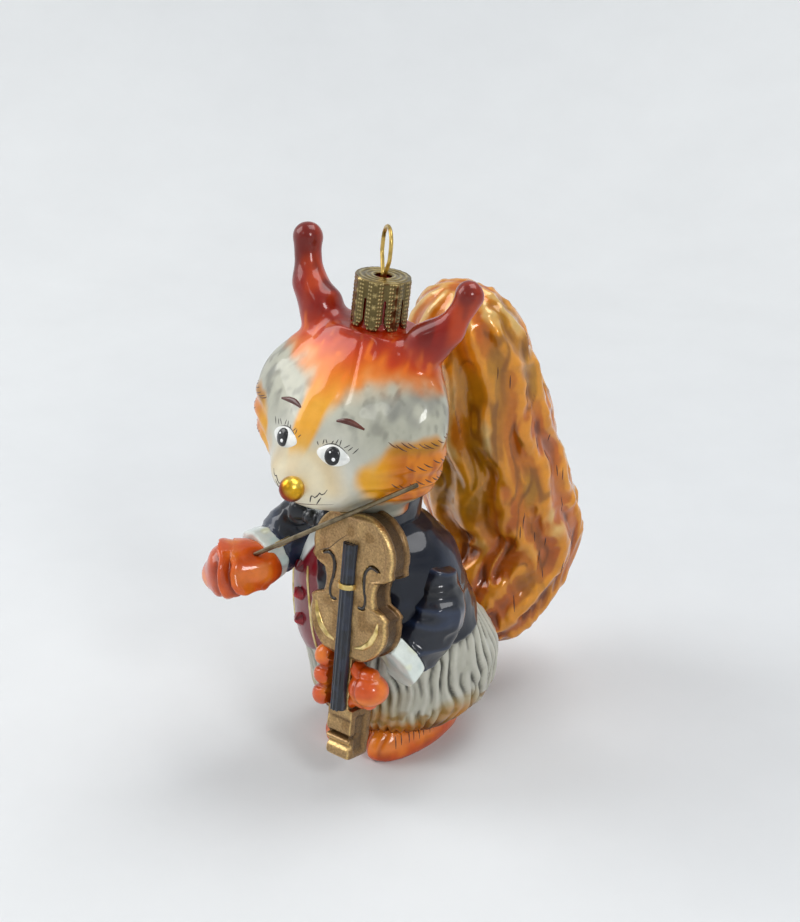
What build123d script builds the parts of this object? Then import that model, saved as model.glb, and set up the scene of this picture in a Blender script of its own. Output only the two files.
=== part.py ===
"""Blown-glass squirrel musician: a hanging ornament that also stands on its feet.

Millimetres, +Z up. The squirrel faces -Y, its left side is +X, and the origin is on the
floor under the middle of the body. The glass bubbles, the cemented small pieces, the metal
cap and its spring wire are each a solid of their own.
"""

import os
from math import cos, radians, sin

from build123d import *

os.makedirs("parts", exist_ok=True)

# Glass and cement
glass_wall = 1.0
cut_overrun = 2.0
running_gap = 0.3

# Body: pear-shaped bubble, from the floor to the neck seam
body_height = 64.0
body_width = 45.0
body_depth = 46.0
neck_radius = 9.0
neck_hole_radius = 6.4
neck_forward = 7.3
neck_sideways = -0.5
# height, width and depth of each slice, and how far its middle lies behind the body's axis
body_slice_shares = [
    (0.0, 0.26, 0.28, 0.02),
    (0.055, 0.44, 0.46, 0.03),
    (0.125, 0.74, 0.74, 0.06),
    (0.19, 0.92, 0.91, 0.08),
    (0.27, 0.99, 0.98, 0.09),
    (0.36, 1.0, 1.0, 0.08),
    (0.504, 0.97, 0.92, -0.03),
    (0.656, 0.92, 0.80, -0.09),
    (0.809, 0.82, 0.70, -0.12),
    (0.908, 0.56, 0.50, -0.14),
]

# Head: wedge-shaped bubble that leans to its left and a little back
head_height = 42.0
head_width = 49.0
head_snout_reach = 24.0
head_back_reach = 12.0
head_pitch_degrees = 4.5
head_roll_degrees = 4.4
head_turn_degrees = 3.5
pike_forward = 4.0
# height, width, reach to the front and to the back, how pointed the snout is, and how far
# ahead of the pike the slice is widest
head_slice_shares = [
    (0.0, 0.39, 0.28, 1.0, 0.0, 0.0),
    (0.07, 0.52, 0.62, 0.92, 0.4, 0.10),
    (0.19, 0.75, 1.0, 0.80, 0.8, 0.24),
    (0.32, 0.94, 0.955, 0.68, 0.5, 0.31),
    (0.46, 1.0, 0.88, 0.62, 0.3, 0.33),
    (0.62, 0.99, 0.75, 0.62, 0.1, 0.30),
    (0.77, 0.88, 0.58, 0.64, 0.0, 0.22),
    (0.90, 0.69, 0.43, 0.66, 0.0, 0.08),
    (1.0, 0.42, 0.35, 0.68, 0.0, 0.0),
]
nose_radius = 2.8
nose_height_share = 0.235
nose_proud_share = 0.35

# Ears: drawn horns with a knob at the tip
ear_root_radius = 5.4
ear_tip_radius = 3.0
ear_root_out_share = 0.53
ear_root_drop = 1.6
ear_root_forward = 2.0
ear_reach_out = 8.8
ear_reach_back = 2.6
ear_reach_up = 14.4
ear_uneven_lift = 0.8
ear_bow_out = 1.8
ear_radius_shares = [(0.0, 1.0), (0.3, 0.8), (0.55, 0.61), (0.8, 0.53), (1.0, 0.53)]

# Tail: tall plume, fused to the lower back
tail_height = 106.5
tail_width = 40.0
tail_depth = 33.0
tail_root_height = 17.5
tail_root_back = 16.0
tail_rear_reach = 27.0
lock_count = 11
lock_depth = 1.7
# rise, reach to the rear, lean from upright in degrees, width and depth of each slice, and the
# degrees that the locks of hair have turned by there
tail_slice_shares = [
    (0.0, 0.0, 75.0, 0.36, 0.36, 0.0),
    (0.023, 0.48, 55.0, 0.65, 0.64, 2.0),
    (0.103, 0.83, 30.0, 0.88, 0.88, 6.0),
    (0.24, 1.03, 5.0, 1.02, 1.04, 0.0),
    (0.377, 0.90, -10.0, 1.02, 1.02, 9.0),
    (0.526, 0.73, -14.0, 0.97, 0.95, 1.0),
    (0.674, 0.57, -14.0, 0.895, 0.87, 10.0),
    (0.811, 0.44, -14.0, 0.82, 0.78, 2.0),
    (0.903, 0.35, -14.0, 0.69, 0.655, 8.0),
    (0.966, 0.30, -14.0, 0.46, 0.43, 4.0),
    (1.0, 0.28, -14.0, 0.18, 0.17, 2.0),
]

# Feet
foot_length = 32.0
foot_width = 12.4
foot_height = 8.0
foot_spacing = 12.8
foot_toe_reach = 15.5
foot_middle_share = 0.45
# share of the height, and share of the full outline there
foot_slice_shares = [(0.0, 0.90), (0.30, 1.0), (0.65, 0.90), (1.0, 0.50)]

# Violin: flat-backed casting held upright, chin end up
violin_length = 33.5
violin_width = 23.0
violin_thickness = 6.0
violin_sideways = 9.2
violin_base_drop = 30.0
violin_face_reach = 27.6
violin_lean_degrees = 7.5
violin_edge_radius = 1.0
# half-width and length shares of the outline's points, from the neck end up
upper_bout_shares = [(0.46, 0.0), (0.93, 0.16)]
violin_corner_shares = [(0.86, 0.36), (0.90, 0.62)]
violin_waist_share = 0.74
lower_bout_shares = [(0.99, 0.79), (0.50, 0.99)]
groove_width = 0.7
groove_depth = 0.6
sound_hole_shares = [
    (0.70, 0.66),
    (0.51, 0.685),
    (0.375, 0.63),
    (0.39, 0.52),
    (0.46, 0.44),
    (0.41, 0.38),
    (0.27, 0.38),
]

# Violin neck, pegbox and scroll
neck_length = 12.6
neck_width = 4.6
neck_thickness = 4.4
pegbox_length = 12.4
pegbox_width = 7.2
scroll_groove_width = 1.1
scroll_groove_depth = 1.0
scroll_groove_share = 0.45

# Fingerboard rod and its bridge
fingerboard_width = 3.4
fingerboard_thickness = 2.3
fingerboard_top_share = 0.80
bridge_length = 1.2
bridge_height = 0.5
bridge_place_share = 0.66

# Left arm: from the shoulder down to the violin's neck. Each place on the arms is given as how
# far it lies to the left, to the back and below the neck seam
left_shoulder_place = (10.0, -5.0, 12.0)
left_elbow_place = (19.2, -7.5, 22.0)
left_wrist_place = (17.0, -15.5, 30.6)
left_shoulder_radius = 7.4
left_wrist_radius = 5.8
palm_radius = 4.6
palm_gap_share = 0.85
finger_radius = 2.3
finger_count = 3
finger_pitch = 3.9
finger_overhang = 1.2
grip_share = 0.52

# Right arm: from the shoulder forwards to the bow
right_shoulder_place = (-12.0, -7.0, 7.5)
right_elbow_place = (-15.8, -14.5, 9.4)
right_wrist_place = (-17.8, -21.0, 13.6)
right_fist_place = (-19.6, -29.0, 15.3)
right_shoulder_radius = 6.6
right_wrist_radius = 5.8
fist_length = 14.0
fist_width = 13.0
fist_height = 11.5
knuckle_radius = 3.0
knuckle_count = 4
knuckle_pitch = 2.8
knuckle_drop = 1.0
fist_middle_share = 0.45
# share of the length from the wrist, and share of the full size there
fist_slice_shares = [(0.0, 0.45), (0.12, 0.78), (0.40, 1.0), (0.70, 0.98), (0.92, 0.68), (1.0, 0.30)]

# Sleeves and cuffs
sleeve_slice_count = 5
cuff_length = 4.6
cuff_flare = 1.2
cuff_sides = 8

# Bow
bow_length = 54.0
bow_radius = 0.55
bow_cheek_gap = 1.7
# half-width, reach and height shares of the place on the left cheek that the bow passes in front of
bow_aim_shares = (0.62, 0.545, 0.217)
bow_grip_offset = (0.8, -1.2, 2.0)
frog_length = 2.4
frog_width = 1.4
frog_height = 2.8
frog_place = 11.0

# Collar and bow tie
collar_height = 5.0
collar_reach = 3.0
tie_width = 11.5
tie_height = 6.4
tie_thickness = 4.4
tie_drop = 2.6
tie_sideways = -6.4
# share of the half-width from the knot, and share of the full height and thickness there
tie_wing_shares = [
    (-1.0, 0.86),
    (-0.8, 1.0),
    (-0.45, 0.74),
    (0.0, 0.40),
    (0.45, 0.74),
    (0.8, 1.0),
    (1.0, 0.86),
]
tie_knot_radius = 2.0
tie_proud = 1.0

# Waistcoat beads
bead_radius = 1.9
bead_count = 3
bead_pitch = 6.6
bead_sides = 8
bead_sideways = -10.2
bead_top_drop = 16.0
bead_point_share = 0.75
bead_proud_share = 0.45
bead_tip_share = 0.25

# Metal cap on the glass neck, which is called the pike
pike_radius = 5.2
cap_radius = 6.0
cap_wall = 0.4
cap_height = 10.8
cap_hole_radius = 1.9
petal_count = 8
petal_slot_width = 0.5
petal_slot_share = 0.62
petal_notch_width = 2.4
petal_notch_height = 2.0

# Spring wire hanger
wire_radius = 0.45
loop_half_width = 4.0
loop_height = 10.6
loop_shoulder_share = 0.40
wire_half_gap = 0.8
wire_bend_radius = 2.0
loop_bend_share = 0.95
leg_depth = 16.0
hanger_turn_degrees = -41.5

# Outlines share one set of points: share of the half-width and share of the reach
round_front_shares = [(0.0, 1.0), (0.38, 0.924), (0.71, 0.71), (0.924, 0.38)]
snout_front_shares = [(0.0, 1.0), (0.24, 0.87), (0.47, 0.56), (0.84, 0.26)]
round_back_shares = [(1.0, 0.0), (0.924, 0.38), (0.71, 0.71), (0.38, 0.924), (0.0, 1.0)]


def between(first, second, share):
    """The value that lies this share of the way from first to second."""
    return first + (second - first) * share


def outline(plane, half_width, front, back, snout=0.0):
    """A smooth closed outline on a plane, with its front towards the plane's -Y."""
    side = []
    for (round_x, round_y), (snout_x, snout_y) in zip(round_front_shares, snout_front_shares):
        x_share = between(round_x, snout_x, snout)
        y_share = between(round_y, snout_y, snout)
        side.append((x_share * half_width, -y_share * front))
    side += [(x_share * half_width, y_share * back) for x_share, y_share in round_back_shares]
    other_side = [(-x, y) for x, y in reversed(side[1:-1])]
    with BuildSketch(plane) as face:
        with BuildLine():
            Spline(*side, *other_side, periodic=True)
        make_face()
    return face.sketch


def plume_outline(plane, half_width, half_depth, groove, turn):
    """A closed outline with soft ridges and grooves all round, on a plane."""
    points = []
    for step in range(2 * lock_count):
        angle = radians(turn + 180 * step / lock_count)
        depth = groove * (step % 2)
        points.append(((half_width - depth) * sin(angle), (half_depth - depth) * cos(angle)))
    with BuildSketch(plane) as face:
        with BuildLine():
            Spline(*points, periodic=True)
        make_face()
    return face.sketch


def bubble(slices):
    """The solid that runs smoothly through a list of outline slices."""
    with BuildPart() as solid:
        loft(sections=[outline(*one_slice) for one_slice in slices])
    return solid.part


def inside(slices, wall):
    """The slices of a bubble's cavity: smaller all round, and shorter at both ends."""
    last = len(slices) - 1
    inner = []
    for place, (plane, half_width, front, back, *snout) in enumerate(slices):
        lift = wall if place == 0 else -wall if place == last else 0.0
        inner.append((plane.offset(lift), half_width - wall, front - wall, back - wall, *snout))
    return inner


def tapered_tube(path, radius_at):
    """Round slices along a path, from (share of the path, radius) rows."""
    slices = []
    for share, radius in radius_at:
        plane = Plane(origin=path @ share, x_dir=(0, 1, 0), z_dir=path % share)
        slices.append((plane, radius, radius, radius))
    return slices


def save(piece, name):
    """Labels a finished piece and writes its file."""
    piece.label = name
    export_step(piece, f"parts/{name}.step")


# Planes that place the pieces
neck_plane = Plane(
    Location(
        (neck_sideways, -neck_forward, body_height),
        (-head_pitch_degrees, head_roll_degrees, head_turn_degrees),
    )
)
crown_plane = Plane(
    neck_plane.from_local_coords((0, -pike_forward, head_height)),
    x_dir=neck_plane.x_dir,
    z_dir=neck_plane.z_dir,
)
head_axis_plane = crown_plane.offset(-head_height)
violin_plane = Plane(
    Location(
        (violin_sideways, -violin_face_reach + violin_thickness, body_height - violin_base_drop),
        (90 - violin_lean_degrees, 0, 0),
    )
)


def turned(plane, rise, degrees):
    """The plane moved along its own Z and turned about it."""
    return Plane(plane.location * Location((0, 0, rise), (0, 0, degrees)))


def from_seam(place):
    """The point that lies to the left, to the back and below the neck seam's height."""
    left, back, drop = place
    return (left, back, body_height - drop)


def body_slices():
    rows = []
    for height_share, width_share, depth_share, centre_share in body_slice_shares:
        plane = Plane((0, centre_share * body_depth, height_share * body_height))
        half_depth = depth_share * body_depth / 2
        rows.append((plane, width_share * body_width / 2, half_depth, half_depth))
    rows.append((neck_plane, neck_radius, neck_radius, neck_radius))
    return rows


def body_front(height, sideways):
    """Y of the body's front skin at a height and a distance from the middle."""
    share = height / body_height
    rows = body_slice_shares
    low, high = next(
        (low, high) for low, high in zip(rows, rows[1:]) if low[0] <= share <= high[0]
    )
    blend = (share - low[0]) / (high[0] - low[0])
    width, depth, centre = [between(a, b, blend) for a, b in zip(low[1:], high[1:])]
    round_share = (1 - (sideways / (width * body_width / 2)) ** 2) ** 0.5
    return centre * body_depth - depth * body_depth / 2 * round_share


def head_slices():
    rows = []
    for height_share, width_share, front_share, back_share, snout, ahead_share in head_slice_shares:
        level = head_axis_plane.offset(height_share * head_height)
        ahead = ahead_share * head_snout_reach
        plane = Plane(level.from_local_coords((0, -ahead, 0)), level.x_dir, level.z_dir)
        front = front_share * head_snout_reach - ahead
        back = back_share * head_back_reach + ahead
        rows.append((plane, width_share * head_width / 2, front, back, snout))
    return rows


def tail_slices():
    """Plane, half-width, half-depth, depth of the grooves and turn of each tail slice."""
    rows = []
    for rise_share, rear_share, lean, width_share, depth_share, turn in tail_slice_shares:
        plane = Plane(
            (
                0,
                tail_root_back + rear_share * tail_rear_reach,
                tail_root_height + rise_share * (tail_height - tail_root_height),
            ),
            x_dir=(1, 0, 0),
            z_dir=(0, sin(radians(lean)), cos(radians(lean))),
        )
        half_width = width_share * tail_width / 2
        rows.append((plane, half_width, depth_share * tail_depth / 2, width_share * lock_depth, turn))
    return rows


# The pike stands just tall enough for the cap's petals to clear the crown
pike_length = cap_height - cap_wall + running_gap

# Body bubble, open at the neck seam
body_solid = bubble(body_slices())
with BuildPart() as body_shell:
    add(body_solid)
    add(bubble(inside(body_slices(), glass_wall)), mode=Mode.SUBTRACT)
    with BuildSketch(neck_plane):
        Circle(neck_hole_radius)
    extrude(amount=-cut_overrun, mode=Mode.SUBTRACT)
save(body_shell.part, "body_shell")

# Head bubble with the pike on its crown, open at the seam and through the pike
head_solid = bubble(head_slices())
pike_bore_radius = pike_radius - glass_wall
with BuildPart() as head_shell:
    add(head_solid)
    with BuildSketch(crown_plane):
        Circle(pike_radius)
    extrude(amount=pike_length)
    add(bubble(inside(head_slices(), glass_wall)), mode=Mode.SUBTRACT)
    with BuildSketch(neck_plane):
        Circle(neck_hole_radius)
    extrude(amount=cut_overrun, mode=Mode.SUBTRACT)
    with BuildSketch(crown_plane.offset(-cut_overrun)):
        Circle(pike_bore_radius)
    extrude(amount=pike_length + 2 * cut_overrun, mode=Mode.SUBTRACT)
save(head_shell.part, "head_shell")

# Nose bead, cemented to the snout
nose_plane = head_axis_plane.offset(nose_height_share * head_height)
nose_centre = nose_plane.from_local_coords((0, -head_snout_reach - nose_proud_share * nose_radius))
with BuildPart() as nose_bead:
    with Locations(nose_centre):
        Sphere(nose_radius)
    add(head_solid, mode=Mode.SUBTRACT)
save(nose_bead.part, "nose_bead")

# Ears, fused to the crown beside the pike; the right one stands a little taller
ear_root_out = ear_root_out_share * head_width / 2
for side, lift, name in ((1, -ear_uneven_lift, "left_ear"), (-1, ear_uneven_lift, "right_ear")):
    middle_out = ear_root_out + ear_reach_out / 2 + ear_bow_out
    middle_up = (ear_reach_up + lift) / 2 - ear_root_drop
    tip_up = ear_reach_up + lift - ear_root_drop
    root = crown_plane.from_local_coords(
        (side * ear_root_out, -ear_root_forward, -ear_root_drop)
    )
    middle = crown_plane.from_local_coords(
        (side * middle_out, ear_reach_back / 2 - ear_root_forward, middle_up)
    )
    tip = crown_plane.from_local_coords(
        (side * (ear_root_out + ear_reach_out), ear_reach_back - ear_root_forward, tip_up)
    )
    with BuildLine() as ear_path:
        ThreePointArc(root, middle, tip)
    ear_radii = [(at, share * ear_root_radius) for at, share in ear_radius_shares]
    with BuildPart() as ear:
        add(bubble(tapered_tube(ear_path.line, ear_radii)))
        with Locations(tip):
            Sphere(ear_tip_radius)
        add(head_solid, mode=Mode.SUBTRACT)
    save(ear.part, name)

# Tail bubble, trimmed to the body's back
tail_core = []
for plane, half_width, half_depth, groove, turn in tail_slices():
    tail_core.append((plane, half_width - groove, half_depth - groove, half_depth - groove))
with BuildPart() as tail_shell:
    loft(sections=[plume_outline(*one_slice) for one_slice in tail_slices()])
    add(bubble(inside(tail_core, glass_wall)), mode=Mode.SUBTRACT)
    add(body_solid, mode=Mode.SUBTRACT)
save(tail_shell.part.solids().sort_by(SortBy.VOLUME)[-1], "tail_shell")

# Feet, trimmed to the body
for side, name in ((1, "left_foot"), (-1, "right_foot")):
    middle_y = -foot_toe_reach + foot_middle_share * foot_length
    foot_slices = []
    for height_share, size_share in foot_slice_shares:
        foot_plane = Plane((side * foot_spacing / 2, middle_y, height_share * foot_height))
        toe = size_share * foot_middle_share * foot_length
        heel = size_share * (1 - foot_middle_share) * foot_length
        foot_slices.append((foot_plane, size_share * foot_width / 2, toe, heel))
    with BuildPart() as foot:
        add(bubble(foot_slices))
        add(body_solid, mode=Mode.SUBTRACT)
    save(foot.part, name)

# Collar: a standing band round the neck seam
collar_radius = neck_radius + collar_reach
with BuildPart() as collar:
    with BuildSketch(neck_plane.offset(-collar_height)):
        Circle(collar_radius)
    extrude(amount=collar_height + collar_reach)
    add(body_solid, mode=Mode.SUBTRACT)
    add(head_solid, mode=Mode.SUBTRACT)
save(collar.part, "collar")

# Violin body: its back lies in the plane, Y runs up to the chin end and Z out of its face
half_violin = violin_width / 2
corner_low, corner_high = [(x * half_violin, y * violin_length) for x, y in violin_corner_shares]
upper_bout = [(x * half_violin, y * violin_length) for x, y in upper_bout_shares]
lower_bout = [(x * half_violin, y * violin_length) for x, y in lower_bout_shares]
waist = (violin_waist_share * half_violin, (corner_low[1] + corner_high[1]) / 2)
face_plane = violin_plane.offset(violin_thickness)
with BuildPart() as violin_body:
    with BuildSketch(violin_plane):
        with BuildLine():
            Spline((0, 0), *upper_bout, corner_low)
            ThreePointArc(corner_low, waist, corner_high)
            Spline(corner_high, *lower_bout, (0, violin_length))
            mirror(about=Plane.YZ)
        make_face()
    extrude(amount=violin_thickness)
    face_edges = violin_body.faces().sort_by(Axis((0, 0, 0), violin_plane.z_dir))[-1].edges()
    fillet(face_edges, violin_edge_radius)
    with BuildSketch(face_plane):
        for side in (1, -1):
            hole = [(side * x * half_violin, y * violin_length) for x, y in sound_hole_shares]
            with BuildLine() as sound_hole:
                Spline(*hole)
            trace(sound_hole.line, line_width=groove_width)
    extrude(amount=-groove_depth, mode=Mode.SUBTRACT)
    add(body_solid, mode=Mode.SUBTRACT)
    add(head_solid, mode=Mode.SUBTRACT)
    add(collar.part, mode=Mode.SUBTRACT)
save(violin_body.part, "violin_body")

# Violin neck with its pegbox, flush with the violin's face
pegbox_middle = -neck_length - pegbox_length / 2
with BuildPart() as violin_neck:
    with BuildSketch(face_plane):
        with Locations((0, -neck_length / 2)):
            Rectangle(neck_width, neck_length)
    extrude(amount=-neck_thickness)
    with BuildSketch(face_plane):
        with Locations((0, pegbox_middle)):
            Rectangle(pegbox_width, pegbox_length)
    extrude(amount=-pegbox_width)
    with BuildSketch(face_plane):
        with Locations((0, pegbox_middle - pegbox_length * (scroll_groove_share / 2))):
            Rectangle(pegbox_width + 2 * cut_overrun, scroll_groove_width)
    extrude(amount=-scroll_groove_depth, mode=Mode.SUBTRACT)
    add(violin_body.part, mode=Mode.SUBTRACT)
    add(body_solid, mode=Mode.SUBTRACT)
save(violin_neck.part, "violin_neck")

# Fingerboard: a half-round rod on the neck and the violin's face
fingerboard_top = fingerboard_top_share * violin_length
half_board = fingerboard_width / 2
board_plane = Plane(
    face_plane.from_local_coords((0, fingerboard_top, 0)),
    x_dir=face_plane.x_dir,
    z_dir=-face_plane.y_dir,
)
with BuildPart() as fingerboard:
    with BuildSketch(board_plane):
        with BuildLine():
            ThreePointArc((-half_board, 0), (0, fingerboard_thickness), (half_board, 0))
            Line((half_board, 0), (-half_board, 0))
        make_face()
    extrude(amount=fingerboard_top + neck_length)
save(fingerboard.part, "fingerboard")

# Bridge: a saddle over the rod
bridge_plane = board_plane.offset((1 - bridge_place_share) * fingerboard_top)
half_bridge = half_board + bridge_height
with BuildPart() as violin_bridge:
    with BuildSketch(bridge_plane):
        with BuildLine():
            ThreePointArc(
                (-half_bridge, 0), (0, fingerboard_thickness + bridge_height), (half_bridge, 0)
            )
            Line((half_bridge, 0), (-half_bridge, 0))
        make_face()
    extrude(amount=bridge_length)
    add(fingerboard.part, mode=Mode.SUBTRACT)
save(violin_bridge.part, "violin_bridge")


def sleeve_path(shoulder, elbow, wrist, hand):
    """The line down the middle of an arm, which leaves the wrist straight for the hand."""
    first_way = Vector(elbow) - Vector(shoulder)
    last_way = Vector(hand) - Vector(wrist)
    with BuildLine() as path:
        Spline(shoulder, elbow, wrist, tangents=(first_way, last_way))
    return path.line


def sleeve_solid(path, shoulder_radius, wrist_radius):
    """A plain tapered sleeve along an arm."""
    radii = []
    for place in range(sleeve_slice_count):
        share = place / (sleeve_slice_count - 1)
        radii.append((share, between(shoulder_radius, wrist_radius, share)))
    return bubble(tapered_tube(path, radii))


def cuff_solid(path, radius):
    """A turned-back cuff with flat sides, from the end of the sleeve."""
    plane = Plane(origin=path @ 1, x_dir=(0, 1, 0), z_dir=path % 1)
    with BuildPart() as solid:
        with BuildSketch(plane):
            RegularPolygon(radius + cuff_flare / 2, cuff_sides)
        with BuildSketch(plane.offset(cuff_length)):
            RegularPolygon(radius + cuff_flare, cuff_sides)
        loft()
    return solid.part


# Left hand: a palm beside the violin's neck with fingers closed round it
grip_y = -grip_share * neck_length
grip_z = -neck_thickness / 2
palm_x = neck_width / 2 + palm_gap_share * palm_radius
palm = face_plane.from_local_coords((palm_x, grip_y, grip_z))
finger_end = neck_width / 2 + finger_overhang
with BuildPart() as left_hand:
    with Locations(palm):
        Sphere(palm_radius)
    for finger in range(finger_count):
        finger_y = grip_y + (finger - (finger_count - 1) / 2) * finger_pitch
        finger_root = face_plane.from_local_coords((palm_x, finger_y, grip_z))
        finger_tip = face_plane.from_local_coords((-finger_end, finger_y, grip_z))
        with BuildSketch(Plane(finger_root, face_plane.y_dir, -face_plane.x_dir)):
            Circle(finger_radius)
        extrude(amount=palm_x + finger_end)
        with Locations(finger_root, finger_tip):
            Sphere(finger_radius)
    add(violin_neck.part, mode=Mode.SUBTRACT)
    add(fingerboard.part, mode=Mode.SUBTRACT)
    add(violin_body.part, mode=Mode.SUBTRACT)
    add(body_solid, mode=Mode.SUBTRACT)
left_arm = sleeve_path(
    from_seam(left_shoulder_place), from_seam(left_elbow_place), from_seam(left_wrist_place), palm
)
left_cuff_solid = cuff_solid(left_arm, left_wrist_radius)

# Right hand: a fist with its knuckles to the front, drilled for the bow
right_fist = from_seam(right_fist_place)
right_arm = sleeve_path(
    from_seam(right_shoulder_place),
    from_seam(right_elbow_place),
    from_seam(right_wrist_place),
    right_fist,
)
right_cuff_solid = cuff_solid(right_arm, right_wrist_radius)
bow_start = Vector(right_fist) + Vector(bow_grip_offset)
aim_out_share, aim_front_share, aim_height_share = bow_aim_shares
bow_aim = head_axis_plane.from_local_coords(
    (
        aim_out_share * head_width / 2,
        -aim_front_share * head_snout_reach - bow_cheek_gap,
        aim_height_share * head_height,
    )
)
bow_plane = Plane(bow_start, x_dir=(0, 1, 0), z_dir=bow_aim - bow_start)
with BuildPart() as bow_stick:
    with BuildSketch(bow_plane):
        Circle(bow_radius)
    extrude(amount=bow_length)
save(bow_stick.part, "bow_stick")

with BuildPart() as bow_frog:
    with BuildSketch(bow_plane.offset(frog_place)):
        with Locations((frog_height / 2, 0)):
            Rectangle(frog_height, frog_width)
    extrude(amount=frog_length)
    add(bow_stick.part, mode=Mode.SUBTRACT)
save(bow_frog.part, "bow_frog")

fist_plane = Plane(right_fist, x_dir=(0, 0, 1), z_dir=right_arm % 1)
fist_slices = []
for length_share, size_share in fist_slice_shares:
    fist_level = fist_plane.offset((length_share - fist_middle_share) * fist_length)
    half_height = size_share * fist_height / 2
    half_width = size_share * fist_width / 2
    fist_slices.append((fist_level, half_height, half_width, half_width))
knuckle_line = (1 - fist_middle_share) * fist_length - knuckle_radius
with BuildPart() as right_hand:
    add(bubble(fist_slices))
    for knuckle in range(knuckle_count):
        across = (knuckle - (knuckle_count - 1) / 2) * knuckle_pitch
        place = fist_plane.from_local_coords((-knuckle_drop, across, knuckle_line))
        with Locations(place):
            Sphere(knuckle_radius)
    add(right_cuff_solid, mode=Mode.SUBTRACT)
    add(bow_stick.part, mode=Mode.SUBTRACT)
save(right_hand.part, "right_hand")

# Sleeves and cuffs, each trimmed to what it sits on
with BuildPart() as left_cuff:
    add(left_cuff_solid)
    add(body_solid, mode=Mode.SUBTRACT)
    add(violin_body.part, mode=Mode.SUBTRACT)
save(left_cuff.part, "left_cuff")

with BuildPart() as left_grip:
    add(left_hand.part)
    add(left_cuff_solid, mode=Mode.SUBTRACT)
save(left_grip.part, "left_hand")

with BuildPart() as right_cuff:
    add(right_cuff_solid)
    add(body_solid, mode=Mode.SUBTRACT)
save(right_cuff.part, "right_cuff")

with BuildPart() as left_sleeve:
    add(sleeve_solid(left_arm, left_shoulder_radius, left_wrist_radius))
    add(body_solid, mode=Mode.SUBTRACT)
    add(violin_body.part, mode=Mode.SUBTRACT)
    add(head_solid, mode=Mode.SUBTRACT)
    add(collar.part, mode=Mode.SUBTRACT)
save(left_sleeve.part, "left_sleeve")

with BuildPart() as right_sleeve:
    add(sleeve_solid(right_arm, right_shoulder_radius, right_wrist_radius))
    add(body_solid, mode=Mode.SUBTRACT)
    add(head_solid, mode=Mode.SUBTRACT)
    add(collar.part, mode=Mode.SUBTRACT)
save(right_sleeve.part, "right_sleeve")

# Bow tie: two loops and a knot, in front of the collar
tie_plane = Plane(
    (tie_sideways, -neck_forward - collar_radius - tie_proud, body_height - tie_drop),
    x_dir=(1, 0, 0),
    z_dir=(0, -1, 0),
)
half_tie = tie_width / 2
with BuildPart() as bow_tie:
    wings = []
    for out_share, size_share in tie_wing_shares:
        wing_plane = Plane(
            tie_plane.from_local_coords((out_share * half_tie, 0, 0)),
            x_dir=(0, 0, 1),
            z_dir=(1, 0, 0),
        )
        half_depth = size_share * tie_thickness / 2
        wings.append((wing_plane, size_share * tie_height / 2, half_depth, half_depth))
    add(bubble(wings))
    with Locations(tie_plane.origin):
        Sphere(tie_knot_radius)
    add(collar.part, mode=Mode.SUBTRACT)
    add(body_solid, mode=Mode.SUBTRACT)
    add(head_solid, mode=Mode.SUBTRACT)
    add(violin_body.part, mode=Mode.SUBTRACT)
save(bow_tie.part, "bow_tie")

# Beads: faceted double cones down the waistcoat
bead_point = bead_point_share * bead_radius
with BuildPart() as waistcoat_beads:
    for bead in range(bead_count):
        bead_height = body_height - bead_top_drop - bead * bead_pitch
        bead_y = body_front(bead_height, bead_sideways) - bead_proud_share * bead_radius
        bead_plane = Plane((bead_sideways, bead_y, bead_height), x_dir=(0, 0, 1), z_dir=(0, -1, 0))
        with BuildSketch(bead_plane.offset(-bead_point)) as bead_back:
            RegularPolygon(bead_tip_share * bead_radius, bead_sides)
        with BuildSketch(bead_plane) as bead_middle:
            RegularPolygon(bead_radius, bead_sides)
        with BuildSketch(bead_plane.offset(bead_point)) as bead_front:
            RegularPolygon(bead_tip_share * bead_radius, bead_sides)
        loft(sections=[bead_back.sketch, bead_middle.sketch, bead_front.sketch], ruled=True)
    add(body_solid, mode=Mode.SUBTRACT)
save(waistcoat_beads.part, "waistcoat_beads")

# Cap: a drawn metal cup over the pike, slit into petals
cap_plane = crown_plane.offset(running_gap)
with BuildPart() as cap:
    with BuildSketch(cap_plane):
        Circle(cap_radius)
    extrude(amount=cap_height)
    with BuildSketch(cap_plane):
        Circle(cap_radius - cap_wall)
    extrude(amount=cap_height - cap_wall, mode=Mode.SUBTRACT)
    with BuildSketch(cap_plane):
        Circle(cap_hole_radius)
    extrude(amount=cap_height + cut_overrun, mode=Mode.SUBTRACT)
    for petal in range(petal_count):
        petal_plane = turned(cap_plane, 0, petal * 360 / petal_count)
        slot_plane = Plane(petal_plane.origin, x_dir=petal_plane.x_dir, z_dir=-petal_plane.y_dir)
        with BuildSketch(slot_plane):
            with Locations((0, petal_slot_share * cap_height / 2)):
                Rectangle(petal_slot_width, petal_slot_share * cap_height)
            Polygon(
                (-petal_notch_width / 2, 0),
                (petal_notch_width / 2, 0),
                (0, petal_notch_height),
                align=None,
            )
        extrude(amount=cap_radius + cut_overrun, mode=Mode.SUBTRACT)
save(cap.part, "cap")

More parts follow.
